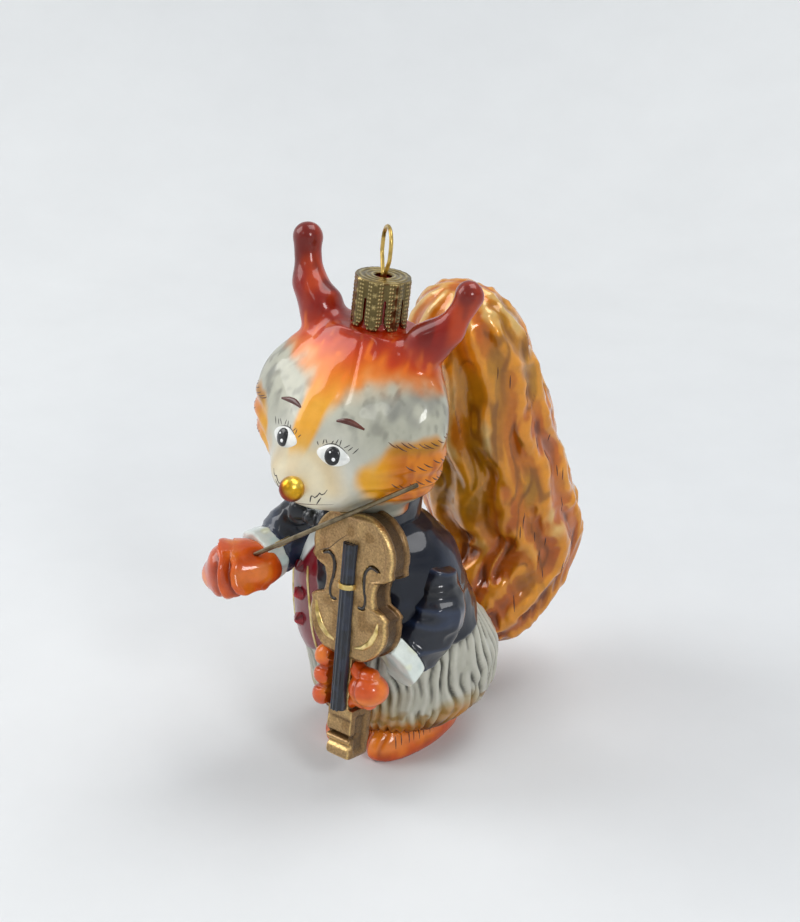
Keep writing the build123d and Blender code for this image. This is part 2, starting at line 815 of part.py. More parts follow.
# Hanger: one wire, bent to a loop above the cap and to two splayed legs inside the pike
cap_top = turned(cap_plane, cap_height, hanger_turn_degrees)
loop_plane = Plane(cap_top.origin, x_dir=cap_top.x_dir, z_dir=-cap_top.y_dir)
leg_spread = pike_bore_radius - wire_radius - running_gap
loop_shoulder = loop_shoulder_share * loop_height
half_wire = [
    (-leg_spread, -leg_depth),
    (-wire_half_gap, 0),
    (-loop_half_width, loop_shoulder),
    (-loop_half_width, loop_height),
]
other_half = [(-x, y) for x, y in reversed(half_wire)]
loop_bend = loop_bend_share * loop_half_width
bends = [wire_bend_radius, wire_bend_radius, loop_bend, loop_bend, wire_bend_radius, wire_bend_radius]
with BuildPart() as hanger_wire:
    with BuildLine(loop_plane) as wire_path:
        FilletPolyline(*half_wire, *other_half, radius=bends)
    with BuildSketch(Plane(wire_path.line @ 0, z_dir=wire_path.line % 0)):
        Circle(wire_radius)
    sweep(path=wire_path.line)
save(hanger_wire.part, "hanger_wire")
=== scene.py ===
import math

import bmesh
import bpy
import numpy as np
from mathutils import Matrix, Vector
from mathutils.bvhtree import BVHTree


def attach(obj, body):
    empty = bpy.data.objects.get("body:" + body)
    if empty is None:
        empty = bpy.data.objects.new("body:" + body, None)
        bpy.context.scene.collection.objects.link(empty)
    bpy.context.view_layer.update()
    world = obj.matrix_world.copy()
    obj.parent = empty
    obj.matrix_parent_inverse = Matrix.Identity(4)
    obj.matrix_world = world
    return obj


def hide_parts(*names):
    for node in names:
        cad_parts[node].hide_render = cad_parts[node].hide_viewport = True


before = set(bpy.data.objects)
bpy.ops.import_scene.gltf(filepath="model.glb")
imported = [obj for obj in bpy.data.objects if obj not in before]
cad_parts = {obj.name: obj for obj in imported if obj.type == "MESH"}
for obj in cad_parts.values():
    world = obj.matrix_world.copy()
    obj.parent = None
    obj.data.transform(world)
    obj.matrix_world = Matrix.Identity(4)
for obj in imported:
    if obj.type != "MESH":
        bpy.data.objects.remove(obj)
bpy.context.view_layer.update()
scene = bpy.context.scene
mm = 0.001
print("frame loaded")


# sRGB hex text to linear colour
def linear(code):
    parts = [int(code[i : i + 2], 16) / 255 for i in (0, 2, 4)]
    return np.array([c / 12.92 if c <= 0.04045 else ((c + 0.055) / 1.055) ** 2.4 for c in parts])


# Adds a node with its settings, values and links
def addNode(tree, kind, settings=None, values=None, links=None):
    node = tree.nodes.new(kind)
    for name, value in (settings or {}).items():
        setattr(node, name, value)
    for name, value in (values or {}).items():
        node.inputs[name].default_value = value
    for name, socket in (links or {}).items():
        tree.links.new(socket, node.inputs[name])
    return node


# A painted surface: the colour comes from the piece's paint attribute, clouded a little by noise
def paintMaterial(name, look):
    material = bpy.data.materials.new(name)
    material.use_nodes = True
    tree = material.node_tree
    tree.nodes.clear()
    place = addNode(tree, "ShaderNodeTexCoord").outputs["Object"]
    paint = addNode(tree, "ShaderNodeAttribute", {"attribute_name": "paint"}).outputs["Color"]
    cloud = addNode(
        tree,
        "ShaderNodeTexNoise",
        values={"Scale": 1 / (look["cloud"] * mm), "Detail": 4.0, "Roughness": 0.6},
        links={"Vector": place},
    )
    shade = addNode(
        tree,
        "ShaderNodeMapRange",
        values={"From Min": 0.25, "From Max": 0.75, "To Min": 1 - look["depth"], "To Max": 1 + look["depth"]},
        links={"Value": cloud.outputs["Fac"]},
    )
    colour = addNode(
        tree,
        "ShaderNodeVectorMath",
        {"operation": "SCALE"},
        links={"Vector": paint, "Scale": shade.outputs["Result"]},
    )
    grain = addNode(
        tree,
        "ShaderNodeTexNoise",
        values={"Scale": 1 / (look["grain"] * mm), "Detail": 3.0},
        links={"Vector": place},
    )
    bump = addNode(
        tree,
        "ShaderNodeBump",
        values={"Strength": 1.0, "Distance": look["bump"] * mm},
        links={"Height": grain.outputs["Fac"]},
    )
    surface = addNode(
        tree,
        "ShaderNodeBsdfPrincipled",
        values={
            "Metallic": look["metallic"],
            "Roughness": look["roughness"],
            "Specular IOR Level": look["specular"],
            "Coat Weight": look["coat"],
            "Coat Roughness": look["coatRoughness"],
        },
        links={"Base Color": colour.outputs["Vector"], "Normal": bump.outputs["Normal"]},
    )
    addNode(tree, "ShaderNodeOutputMaterial", links={"Surface": surface.outputs["BSDF"]})
    return material


# Pearl lacquer on silvered glass: a faint metal glow under a wet gloss
pearlLacquer = paintMaterial(
    "pearlLacquer",
    dict(
        cloud=5.0, depth=0.10, grain=6.0, bump=0.16, metallic=0.12,
        roughness=0.36, specular=0.15, coat=0.6, coatRoughness=0.04,
    ),
)
# Amber lacquer over silver: deeper metal glow, so that locks flash as they turn
amberLacquer = paintMaterial(
    "amberLacquer",
    dict(
        cloud=4.0, depth=0.16, grain=4.0, bump=0.22, metallic=0.25,
        roughness=0.34, specular=0.15, coat=0.9, coatRoughness=0.03,
    ),
)
# Enamel: solid gloss colour for the clothes, paws and brush strokes
enamel = paintMaterial(
    "enamel",
    dict(
        cloud=3.0, depth=0.14, grain=3.5, bump=0.12, metallic=0.0,
        roughness=0.36, specular=0.2, coat=0.8, coatRoughness=0.05,
    ),
)
# Bronze glitter paint: a soft sparkle of fine grit
bronzeGrit = paintMaterial(
    "bronzeGrit",
    dict(
        cloud=0.5, depth=0.45, grain=0.42, bump=0.1, metallic=0.8,
        roughness=0.36, specular=0.5, coat=0.25, coatRoughness=0.2,
    ),
)
# Gold leaf and brass: bright metal with worn mottling
brass = paintMaterial(
    "brass",
    dict(
        cloud=1.2, depth=0.22, grain=0.8, bump=0.04, metallic=1.0,
        roughness=0.30, specular=0.5, coat=0.2, coatRoughness=0.1,
    ),
)


# Smooth step from 0 at low to 1 at high
def ease(low, high, value):
    share = np.clip((value - low) / (high - low), 0, 1)
    return share * share * (3 - 2 * share)


# Smooth random values from 0 to 1 at points in mm; size is the cell in mm, one value or three
def noise(points, size, seed):
    place = np.asarray(points, float) / np.asarray(size, float) + 100.5
    cell = np.floor(place).astype(np.int64)
    part = place - cell
    part = part * part * (3 - 2 * part)
    total = np.zeros(len(place))
    for corner in range(8):
        step = np.array([corner & 1, corner >> 1 & 1, corner >> 2 & 1])
        spot = cell + step
        key = (spot[:, 0] * 73856093) ^ (spot[:, 1] * 19349663) ^ (spot[:, 2] * 83492791) ^ (seed * 2654435)
        key = ((key ^ (key >> 13)) * 1274126177) & 0x7FFFFFFF
        key = ((key ^ (key >> 15)) * 668265263) & 0x7FFFFFFF
        weight = np.prod(np.where(step, part, 1 - part), axis=1)
        total += weight * ((key >> 7) & 0xFFFF) / 65535
    return total


# A bump of height 1 at zero that fades over a width
def bell(value, width):
    return np.exp(-((value / width) ** 2))


# Random ridges, 1 along their crests
def ridges(points, size, seed):
    return 1 - np.abs(2 * noise(points, size, seed) - 1)


# One colour for every point
def coated(points, code):
    return np.tile(linear(code), (len(points), 1))


# Lays a colour over the paint where the mask is 1
def layer(paint, code, mask):
    return paint + (linear(code) - paint) * np.clip(mask, 0, 1)[:, None]


# The points and normals of a mesh, points in mm
def readMesh(mesh):
    points = np.empty(len(mesh.vertices) * 3, np.float32)
    normals = np.empty(len(mesh.vertices) * 3, np.float32)
    mesh.vertices.foreach_get("co", points)
    mesh.vertices.foreach_get("normal", normals)
    return points.reshape(-1, 3).astype(float) / mm, normals.reshape(-1, 3).astype(float)


# Writes points given in mm back to a mesh
def writePoints(mesh, points):
    mesh.vertices.foreach_set("co", (points * mm).astype(np.float32).ravel())
    mesh.update()


# Writes a colour for each point
def writePaint(mesh, paint):
    layerData = mesh.attributes.new("paint", "FLOAT_COLOR", "POINT")
    rows = np.ones((len(paint), 4), np.float32)
    rows[:, :3] = np.clip(paint, 0, 1)
    layerData.data.foreach_set("color", rows.ravel())


# A function that gives, for each point of a mesh, the mean of its neighbours
def neighbourMeans(mesh):
    edges = np.empty(len(mesh.edges) * 2, np.int32)
    mesh.edges.foreach_get("vertices", edges)
    first, second = edges.reshape(-1, 2).T
    size = len(mesh.vertices)
    count = np.maximum(np.bincount(edges, minlength=size), 1)

    def means(points):
        columns = [
            np.bincount(first, column[second], size) + np.bincount(second, column[first], size)
            for column in points.T
        ]
        return np.stack(columns, axis=1) / count[:, None]

    return means


# How far one round of smoothing moves a point towards its neighbours
smoothSet = {"relaxIn": 0.5, "relaxOut": -0.52, "melt": 0.6}


# Evens out a mesh without shrinking it
def relax(mesh, rounds):
    points, _ = readMesh(mesh)
    means = neighbourMeans(mesh)
    for _ in range(rounds):
        points += (means(points) - points) * smoothSet["relaxIn"]
        points += (means(points) - points) * smoothSet["relaxOut"]
    writePoints(mesh, points)


# Melts a seam: plain smoothing where the mask is 1
def melt(mesh, mask, rounds):
    points, _ = readMesh(mesh)
    means = neighbourMeans(mesh)
    for _ in range(rounds):
        points += (means(points) - points) * smoothSet["melt"] * mask[:, None]
    writePoints(mesh, points)


# How deep each point lies in a groove, in mm, below zero on a ridge
def hollows(mesh, rounds):
    points, normals = readMesh(mesh)
    means = neighbourMeans(mesh)
    even = points
    for _ in range(rounds):
        even = means(even)
    return ((even - points) * normals).sum(axis=1)


# Turns a bmesh into a mesh and frees it
def meshFrom(bm, name):
    mesh = bpy.data.meshes.new(name)
    bm.to_mesh(mesh)
    bm.free()
    return mesh


# The final mesh of a curve or of a mesh with modifiers, which is then removed
def bakedMesh(name, data, remeshSize=None):
    holder = bpy.data.objects.new(name + "Holder", data)
    scene.collection.objects.link(holder)
    if remeshSize:
        remesh = holder.modifiers.new("skin", "REMESH")
        remesh.mode = "VOXEL"
        remesh.voxel_size = remeshSize
        remesh.use_smooth_shade = True
    graph = bpy.context.evaluated_depsgraph_get()
    mesh = bpy.data.meshes.new_from_object(holder.evaluated_get(graph))
    mesh.name = name
    bpy.data.objects.remove(holder)
    return mesh


# A CAD node as one welded mesh
def cadCopy(node):
    bm = bmesh.new()
    bm.from_mesh(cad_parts[node].data)
    bmesh.ops.remove_doubles(bm, verts=bm.verts, dist=0.001 * mm)
    bmesh.ops.recalc_face_normals(bm, faces=bm.faces)
    return bm


# Takes the inner skin out of a hollow shell, keeps the outer island and closes it
def dropCavity(mesh):
    bm = bmesh.new()
    bm.from_mesh(mesh)
    tree = BVHTree.FromBMesh(bm)
    inner = []
    for face in bm.faces:
        normal = face.normal
        start = face.calc_center_median() + normal * 0.02 * mm
        side = normal.orthogonal().normalized()
        other = normal.cross(side)
        hits = tree.ray_cast(start, normal)[0] is not None
        for spoke in range(6):
            angle = spoke * math.tau / 6
            way = normal * 0.6 + side * math.cos(angle) + other * math.sin(angle)
            hits += tree.ray_cast(start, way.normalized())[0] is not None
        if hits > 3:
            inner.append(face)
    bmesh.ops.delete(bm, geom=inner, context="FACES")
    islands = []
    waiting = set(bm.faces)
    while waiting:
        island = [waiting.pop()]
        for face in island:
            for edge in face.edges:
                for beside in edge.link_faces:
                    if beside in waiting:
                        waiting.remove(beside)
                        island.append(beside)
        islands.append(island)
    islands.sort(key=len)
    bmesh.ops.delete(bm, geom=[face for island in islands[:-1] for face in island], context="FACES")
    rim = [edge for edge in bm.edges if edge.is_boundary]
    filled = bmesh.ops.holes_fill(bm, edges=rim, sides=0)
    bmesh.ops.triangulate(bm, faces=filled["faces"])
    bm.to_mesh(mesh)
    bm.free()
    mesh.shade_smooth()


# Puts a finished mesh in the scene as a piece of the object
def addPiece(name, mesh, material, body, nodes=()):
    piece = bpy.data.objects.new(name, mesh)
    scene.collection.objects.link(piece)
    mesh.materials.clear()
    mesh.materials.append(material)
    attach(piece, body)
    if nodes:
        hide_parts(*nodes)
    return piece


# One even skin over CAD nodes, by a voxel remesh
def skinMesh(name, nodes, voxel, rounds, hollow=False):
    joined = bmesh.new()
    for node in nodes:
        part = meshFrom(cadCopy(node), name + "Part")
        joined.from_mesh(part)
        bpy.data.meshes.remove(part)
    source = meshFrom(joined, name + "Source")
    mesh = bakedMesh(name, source, voxel * mm)
    bpy.data.meshes.remove(source)
    relax(mesh, rounds)
    if hollow:
        dropCavity(mesh)
    return mesh


# A search tree over a finished mesh
def treeOf(mesh):
    bm = bmesh.new()
    bm.from_mesh(mesh)
    tree = BVHTree.FromBMesh(bm)
    bm.free()
    return tree


# Draws the rim of a piece into the skin that carries it, so that no gap shows
def sinkInto(mesh, tree, reach, depth):
    points, _ = readMesh(mesh)
    for index, point in enumerate(points):
        spot, normal, _, distance = tree.find_nearest(Vector(point * mm), reach * mm)
        if spot is not None:
            share = 1 - distance / (reach * mm)
            points[index] -= np.array(normal) * depth * share
    writePoints(mesh, points)


# Brush strokes: tapered threads half sunk in a skin. A path is a list of (point, normal) in metres
def strokePiece(name, paths, look):
    curve = bpy.data.curves.new(name, "CURVE")
    curve.dimensions = "3D"
    curve.bevel_depth = 1.0
    curve.bevel_resolution = 3
    curve.use_fill_caps = True
    for path in paths:
        spline = curve.splines.new("POLY")
        spline.points.add(len(path) - 1)
        for index, (spot, normal) in enumerate(path):
            share = index / (len(path) - 1)
            inward = min(0.5, 0.5 - abs(share - 0.5) + 0.04)
            thick = look["radius"] * (0.25 + 0.75 * math.sin(math.pi * inward))
            if look.get("even"):
                thick = look["radius"] * (1.0 if 0 < index < len(path) - 1 else 0.5)
            spline.points[index].co = (*(spot - normal * look["sunk"] * thick * mm), 1)
            spline.points[index].radius = thick * mm
    mesh = bakedMesh(name, curve)
    bpy.data.curves.remove(curve)
    mesh.shade_smooth()
    points, _ = readMesh(mesh)
    tint = noise(points, 1.1, 5)
    paint = layer(coated(points, look["colour"]), look["second"], ease(0.45, 0.8, tint))
    writePaint(mesh, paint)
    return addPiece(name, mesh, look["material"], "figurine")


# Snaps a row of rough places, in metres, to a skin, with more places between them
def drape(tree, places, count):
    path = []
    for index in range(count):
        spread = index / (count - 1) * (len(places) - 1)
        low = min(int(spread), len(places) - 2)
        spot, normal, _, _ = tree.find_nearest(places[low].lerp(places[low + 1], spread - low))
        path.append((spot, normal))
    return path


# Head: skull, ears and the glass neck under the cap in one skin
headSet = {
    "pitch": -4.5,
    "roll": 4.4,
    "turn": 3.5,
    "foot": (-0.257, -11.282, 64.294),
    "middle": 5.0,
    "voxel": 0.42,
    "rounds": 6,
}
headAxes = np.array(
    Matrix.Rotation(math.radians(headSet["pitch"]), 3, "X")
    @ Matrix.Rotation(math.radians(headSet["roll"]), 3, "Y")
    @ Matrix.Rotation(math.radians(headSet["turn"]), 3, "Z")
)
headFoot = np.array(headSet["foot"])


# Turn about the head's axis in degrees, height up it, and the local places
def headPlaces(points):
    local = (points - headFoot) @ headAxes
    turn = np.degrees(np.arctan2(local[:, 0], -(local[:, 1] + headSet["middle"])))
    return local, turn, local[:, 2]


headMesh = skinMesh(
    "headSkin",
    ["head_shell", "left_ear", "right_ear"],
    headSet["voxel"],
    headSet["rounds"],
    hollow=True,
)
points, _ = readMesh(headMesh)
local = headPlaces(points)[0]
rootAway = np.linalg.norm(local - np.sign(local[:, :1]) * [[13.0, 0, 0]] - [[0, -2.0, 40.4]], axis=1)
melt(headMesh, bell(rootAway - 5.2, 2.6), 70)
points, normals = readMesh(headMesh)
local, turn, height = headPlaces(points)
side = np.abs(turn)
cloud = noise(points, 7.0, 1)
brush = noise(local, (2.4, 2.4, 6.0), 2)
hair = noise(local, (1.3, 1.3, 4.0), 3)
cheekAcross = (side - 74) / 34
cheekUp = (height - 16.0 - 0.05 * (side - 74)) / 9.0
cheekReach = np.sqrt(cheekAcross**2 + cheekUp**2)
cheek = 1 - ease(0.72, 1.08, cheekReach + (brush - 0.5) * 0.35)
onSkull = 1 - ease(39, 43, height)
tufts = np.sin((height - 0.07 * side + 2.5 * cloud) * math.tau / 4.4)
crease = bell(turn - 27 - 0.4 * (height - 34), 3.0) * ease(28, 31, height) * (1 - ease(38, 42, height))
lift = 0.30 * cheek * tufts - 0.4 * crease + 0.28 * (cloud - 0.5) * onSkull + 0.22 * (brush - 0.5) * onSkull
onEar = ease(41, 46, height) * ease(9.5, 12.5, np.abs(local[:, 0]))
for onSide in (local[:, 0] > 0, local[:, 0] < 0):
    earTip = points[np.argmax(np.where(onSide, height, 0))]
    fromTip = np.linalg.norm(points - earTip, axis=1)
    knob = 0.45 * ease(6.5, 3.0, fromTip) - 0.2 * bell(fromTip - 8.2, 2.4)
    lift += onSide * onEar * (knob + 0.45 * ease(8.0, 13.0, fromTip))
lift += onEar * (1.0 * (noise(points, 5.0, 4) - 0.5))
lift += 1.7 * bell(side - 27, 14) * bell(height - 9.0, 4.0)
lift += 3.6 * ease(100, 160, side) * bell(height - 18, 10)
points = points + normals * lift[:, None]
writePoints(headMesh, points)

paint = coated(points, "B4B3A2")
paint = layer(paint, "86857A", ease(0.48, 0.85, hair) * ease(20, 26, height) * 0.7)
paint = layer(paint, "8A8A82", ease(0.35, 0.8, brush) * ease(30, 60, side) * ease(25, 29, height) * 0.75)
dabs = noise(local, (1.1, 1.1, 2.6), 8)
paint = layer(paint, "75746A", ease(0.6, 0.85, dabs) * ease(12, 30, side) * ease(20, 25, height) * 0.5)
paint = layer(paint, "D9D7CD", bell(side - 22, 22) * bell(height - 15, 8) * 0.9)
wobble = (cloud - 0.5) * 5 + (brush - 0.5) * 4
browLine = 33.0 + 3.5 * ease(25, 80, side) - 21 * bell(turn + 7, 12.5)
browLine -= 3.0 * bell(turn - 14, 8)
crown = ease(-4.0, 2.5, height + wobble * 0.7 - browLine)
paint = layer(paint, "E6A01C", crown * 0.95)
paint = layer(paint, "E2700A", crown * ease(25, 35, height + wobble) * 0.95)
paint = layer(paint, "C23A04", crown * ease(33, 40, height + wobble))
paint = layer(paint, "861604", crown * ease(37, 44, height + wobble * 0.6))
glow = ease(0.6, 0.9, hair) * ease(28, 34, height) * (1 - ease(40, 43, height))
paint = layer(paint, "EA7412", crown * glow * 0.6)
nape = ease(96, 122, side + wobble * 2.5) * (1 - ease(37, 42, height))
paint = layer(paint, "D0780E", nape * 0.95)
paint = layer(paint, "B4500A", nape * ease(0.35, 0.75, hair) * 0.8)
paint = layer(paint, "B43A06", nape * ease(28, 38, height + wobble))
paint = layer(paint, "E2A01C", cheek)
paint = layer(paint, "D67C08", cheek * ease(52, 66, side + wobble))
paint = layer(paint, "A9500A", cheek * ease(0.45, 0.8, hair) * ease(55, 75, side) * 0.8)
paint = layer(paint, "8E6A14", cheek * ease(0.5, 0.85, cheekUp) * ease(50, 62, side) * 0.8)
noseReach = np.linalg.norm(local - np.array([0, -24.0, 10.2]), axis=1)
paint = layer(paint, "E2B95E", (1 - ease(7.0, 13.0, noseReach + wobble * 0.5)) * ease(8, 12, height) * 0.55)
paint = layer(paint, "E9DFC2", (1 - ease(5.5, 9.5, noseReach)) * 0.8)
paint = layer(paint, "861604", onEar)
paint = layer(paint, "C4460E", onEar * ease(0.5, 0.75, noise(local, (3.5, 3.5, 8.0), 6)) * 0.6)
paint = layer(paint, "5E0E06", onEar * ease(0.5, 0.25, noise(local, (3.0, 3.0, 6.0), 7)) * 0.8)
paint = layer(paint, "74160A", onEar * ease(50, 57, height) * 0.7)
writePaint(headMesh, paint)
addPiece(
    "headSkin", headMesh, pearlLacquer, "figurine", ["head_shell", "left_ear", "right_ear"]
)
headTree = treeOf(headMesh)
print("head done", len(headMesh.polygons))


# The place on the head's skin at a turn in degrees and a height in mm
def onHead(turnAt, heightAt):
    angle = math.radians(turnAt)
    start = headFoot + headAxes @ np.array([0, -headSet["middle"], heightAt])
    way = headAxes @ np.array([math.sin(angle), -math.cos(angle), 0])
    spot, normal, _, _ = headTree.ray_cast(Vector((start + way * 60) * mm), Vector(-way))
    return spot, normal


# Body: coat, waistcoat and combed fur skirt in one skin
bodySet = {"voxel": 0.42, "rounds": 5, "middle": 2.0, "opening": -32.0, "openHalf": 29.0, "comb": 3.1}
bodyMesh = skinMesh("bodySkin", ["body_shell"], bodySet["voxel"], bodySet["rounds"], hollow=True)
points, normals = readMesh(bodyMesh)
turn = np.degrees(np.arctan2(points[:, 0], -(points[:, 1] + bodySet["middle"])))
level = points[:, 2]
cloud = noise(points, 6.0, 11)
brush = noise(points, (2.0, 2.0, 6.0), 12)
fromFront = np.abs(turn - bodySet["opening"])
openHalf = bodySet["openHalf"] - 0.45 * (level - 36)
opening = 1 - ease(-1.0, 1.0, fromFront - openHalf)
waistEdge = 26.5 + 0.12 * fromFront
coatEdge = 33.5 + 3.0 * ease(110, 170, np.abs(turn)) + 1.2 * np.sin(np.radians(turn * 3))
coat = (1 - opening) * ease(-0.4, 0.4, level - coatEdge)
waistcoat = opening * ease(-0.4, 0.4, level - waistEdge)
fur = np.clip(1 - coat - waistcoat, 0, 1)
flat = np.stack([np.radians(turn) * 22 + 3.0 * (cloud - 0.5) + 0.12 * level, level, 0 * level], axis=1)
wander = 3.4 * noise(flat, (6.5, 7.0, 9.0), 14) + 1.6 * noise(flat, (3.2, 4.0, 9.0), 15)
groove = np.zeros(len(points))
combs = np.zeros(len(points))
for row in range(2):
    lock = (flat[:, 0] + wander * (1 - 1.6 * row)) / bodySet["comb"] + 0.5 * row
    fromGroove = np.abs(lock % 1.0 - 0.5) * bodySet["comb"]
    broken = noise(np.stack([np.floor(lock) * 9.0, level, 0 * level], axis=1), (9.0, 5.5, 9.0), 16 + 3 * row)
    groove = np.maximum(groove, bell(fromGroove, 0.55) * ease(0.42, 0.7, broken))
    combs -= 0.3 * np.cos((lock % 1.0 - 0.5) * math.tau)
wrinkle = ridges(points, (6.0, 6.0, 4.0), 17)
lift = coat * 0.55 + waistcoat * 0.35
lift += fur * (0.5 * combs - 0.8 * groove) * ease(3, 7, level)
lift += coat * (0.7 * (wrinkle - 0.6) + 0.5 * (noise(points, (7, 7, 4), 13) - 0.5)) + 0.3 * (cloud - 0.5)
points = points + normals * lift[:, None]
points[:, 2] = np.maximum(points[:, 2], 0.05)
writePoints(bodyMesh, points)
paint = coated(points, "ACAA9C")
hollow = hollows(bodyMesh, 16)
# Painted highlight on the fur's ridges and painted shade in its grooves, both read from the groove depth
paint = layer(paint, "C4C2B5", fur * ease(-0.03, -0.25, hollow) * 0.8)
paint = layer(paint, "77756A", fur * ease(0.02, 0.16, hollow) * 0.8)
paint = layer(paint, "3A3932", fur * ease(0.12, 0.36, hollow) * 0.85)
paint = layer(paint, "A98A3C", fur * (1 - ease(13, 19, level + (cloud - 0.5) * 9)) * 0.5)
paint = layer(paint, "B47414", fur * (1 - ease(10.5, 14.5, level + (cloud - 0.5) * 7)))
paint = layer(paint, "6E4212", fur * (1 - ease(8, 11, level + (brush - 0.5) * 4)))
spots = ease(0.6, 0.75, noise(points, (2.6, 2.6, 1.8), 18)) * ease(8.0, 10.0, level) * ease(17.5, 13.5, level)
paint = layer(paint, "8A6410", fur * spots * 0.8)
paint = layer(paint, "0F1522", coat)
paint = layer(paint, "1E2A42", coat * ease(0.55, 0.85, cloud) * 0.6)
paint = layer(paint, "760A1C", waistcoat)
paint = layer(paint, "96142A", waistcoat * ease(0.5, 0.8, cloud) * 0.6)
shirt = waistcoat * ease(-1.5, 1.5, (level - 47.5) * 1.9 - fromFront)
paint = layer(paint, "E4E8E4", shirt)
writePaint(bodyMesh, paint)
addPiece("bodySkin", bodyMesh, pearlLacquer, "figurine", ["body_shell"])
bodyTree = treeOf(bodyMesh)
print("body done", len(bodyMesh.polygons))


# The place on the body's skin at a turn in degrees and a level in mm
def onBody(turnAt, levelAt):
    angle = math.radians(turnAt)
    way = Vector((math.sin(angle), -math.cos(angle), 0))
    start = Vector((0, -bodySet["middle"] * mm, levelAt * mm))
    spot, normal, _, _ = bodyTree.ray_cast(start + way * 60 * mm, -way)
    return spot, normal


# Tail: a plume of long wavy locks
tailSet = {"voxel": 0.48, "rounds": 5, "locks": (4.6, 4.6, 15.0), "deep": 0.9, "sinkReach": 2.4, "sink": 2.0}
tailMesh = skinMesh("tailSkin", ["tail_shell"], tailSet["voxel"], tailSet["rounds"], hollow=True)
sinkInto(tailMesh, bodyTree, tailSet["sinkReach"], tailSet["sink"])
points, normals = readMesh(tailMesh)
level = points[:, 2]
wave = np.stack(
    [
        noise(points, 13.0, 21) - 0.5,
        noise(points, 13.0, 22) - 0.5,
        np.zeros(len(points)),
    ],
    axis=1,
)
swept = points + wave * 9
ridge = ridges(swept, tailSet["locks"], 23)
fine = ridges(swept, (2.6, 2.6, 9.0), 24)
crinkle = ridges(swept, (3.4, 3.4, 5.0), 29)
lift = tailSet["deep"] * (ridge - 0.6) + 0.55 * (fine - 0.5) + 0.6 * (crinkle - 0.5)
away = np.clip((points[:, 1] - 18) / 8, 0, 1)
lift *= 0.25 + 0.75 * away
points = points + normals * lift[:, None]
writePoints(tailMesh, points)
hollow = hollows(tailMesh, 24)
patch = noise(swept, (7.0, 7.0, 16.0), 25)
streak = ridges(swept, (3.2, 3.2, 14.0), 26)
paint = coated(points, "C06E08")
paint = layer(paint, "9A7610", ease(0.52, 0.75, patch) * 0.6)
paint = layer(paint, "B65608", ease(0.52, 0.3, patch) * 0.75)
low = 1 - ease(28, 44, level + (patch - 0.5) * 20)
paint = layer(paint, "AC5206", low * 0.8)
# Painted highlight: paler orange on the crests of the locks
paint = layer(paint, "E29620", ease(-0.04, -0.3, hollow) * 0.7)
# Painted shade: dark brown deep in the grooves between the locks, patchy in strength
deep = ease(0.06, 0.36, hollow)
paint = layer(paint, "6A2C04", deep * (0.35 + 0.55 * ease(0.35, 0.7, noise(points, 10.0, 31))))
paint = layer(paint, "6A3A06", ease(0.85, 0.97, streak) * ease(0.5, 0.35, noise(points, 9.0, 30)) * 0.6)
# Painted highlight: pale gold-white patches on the ridge tops of the upper locks
paleRidgeHighlight = ease(-0.1, -0.35, hollow) * ease(0.5, 0.7, noise(points, 11.0, 27)) * ease(35, 45, level)
paint = layer(paint, "D2BE80", paleRidgeHighlight * 0.6)
writePaint(tailMesh, paint)
addPiece("tailSkin", tailMesh, amberLacquer, "figurine", ["tail_shell"])
tailTree = treeOf(tailMesh)
print("tail done", len(tailMesh.polygons))

# Sleeves: navy enamel with soft folds
sleeveSet = {"voxel": 0.32, "rounds": 4, "fold": 1.3, "sinkReach": 1.4, "sink": 1.3}
for name, node, seed in (("leftSleeve", "left_sleeve", 31), ("rightSleeve", "right_sleeve", 33)):
    mesh = skinMesh(name, [node], sleeveSet["voxel"], sleeveSet["rounds"])
    sinkInto(mesh, bodyTree, sleeveSet["sinkReach"], sleeveSet["sink"])
    points, normals = readMesh(mesh)
    folds = ridges(points, (8.0, 8.0, 5.0), seed)
    creases = ridges(points, (4.0, 4.0, 3.0), seed + 1)
    points = points + normals * (sleeveSet["fold"] * (folds - 0.6) + 0.6 * (creases - 0.5))[:, None]
    writePoints(mesh, points)
    paint = coated(points, "0F1522")
    # Painted highlight on the fold crests and painted shade in the fold hollows
    paint = layer(paint, "22304A", ease(0.75, 0.98, folds) * 0.7)
    paint = layer(paint, "080B12", ease(0.45, 0.15, folds) * 0.8)
    writePaint(mesh, paint)
    addPiece(name, mesh, enamel, "figurine", [node])
print("sleeves done")

# Cuffs, collar and bow tie
linenSet = {"voxel": 0.26, "rounds": 3, "sinkReach": 0.9, "sink": 0.8}
for name, node, colours, slot in (
    ("leftCuff", "left_cuff", ("DDE5DE", "BCD3CF", "E0E2BC"), "linen_lacquer"),
    ("rightCuff", "right_cuff", ("DDE5DE", "BCD3CF", "E0E2BC"), "linen_lacquer"),
    ("shirtCollar", "collar", ("DCE2DF", "BFCFD2", "EEF0EC"), "linen_lacquer"),
    ("bowTie", "bow_tie", ("12151D", "20283A", "0A0C11"), "tie_lacquer"),
):
    mesh = skinMesh(name, [node], linenSet["voxel"], linenSet["rounds"])
    if "Cuff" in name:
        melt(mesh, np.ones(len(mesh.vertices)), 14)
    sinkInto(mesh, bodyTree, linenSet["sinkReach"], linenSet["sink"])
    points, normals = readMesh(mesh)
    cloud = noise(points, 3.2, 41)
    points = points + normals * (0.4 * (cloud - 0.5))[:, None]
    writePoints(mesh, points)
    paint = coated(points, colours[0])
    paint = layer(paint, colours[1], ease(0.55, 0.8, cloud) * 0.8)
    paint = layer(paint, colours[2], ease(0.4, 0.2, cloud) * 0.8)
    if name == "shirtCollar":
        turn = np.degrees(np.arctan2(points[:, 0] + 0.5, -(points[:, 1] + 7.3)))
        paint = layer(paint, "0F1522", ease(26, 32, np.abs(turn + 32)))
    writePaint(mesh, paint)
    addPiece(name, mesh, enamel, "figurine", [node])
print("linen done")

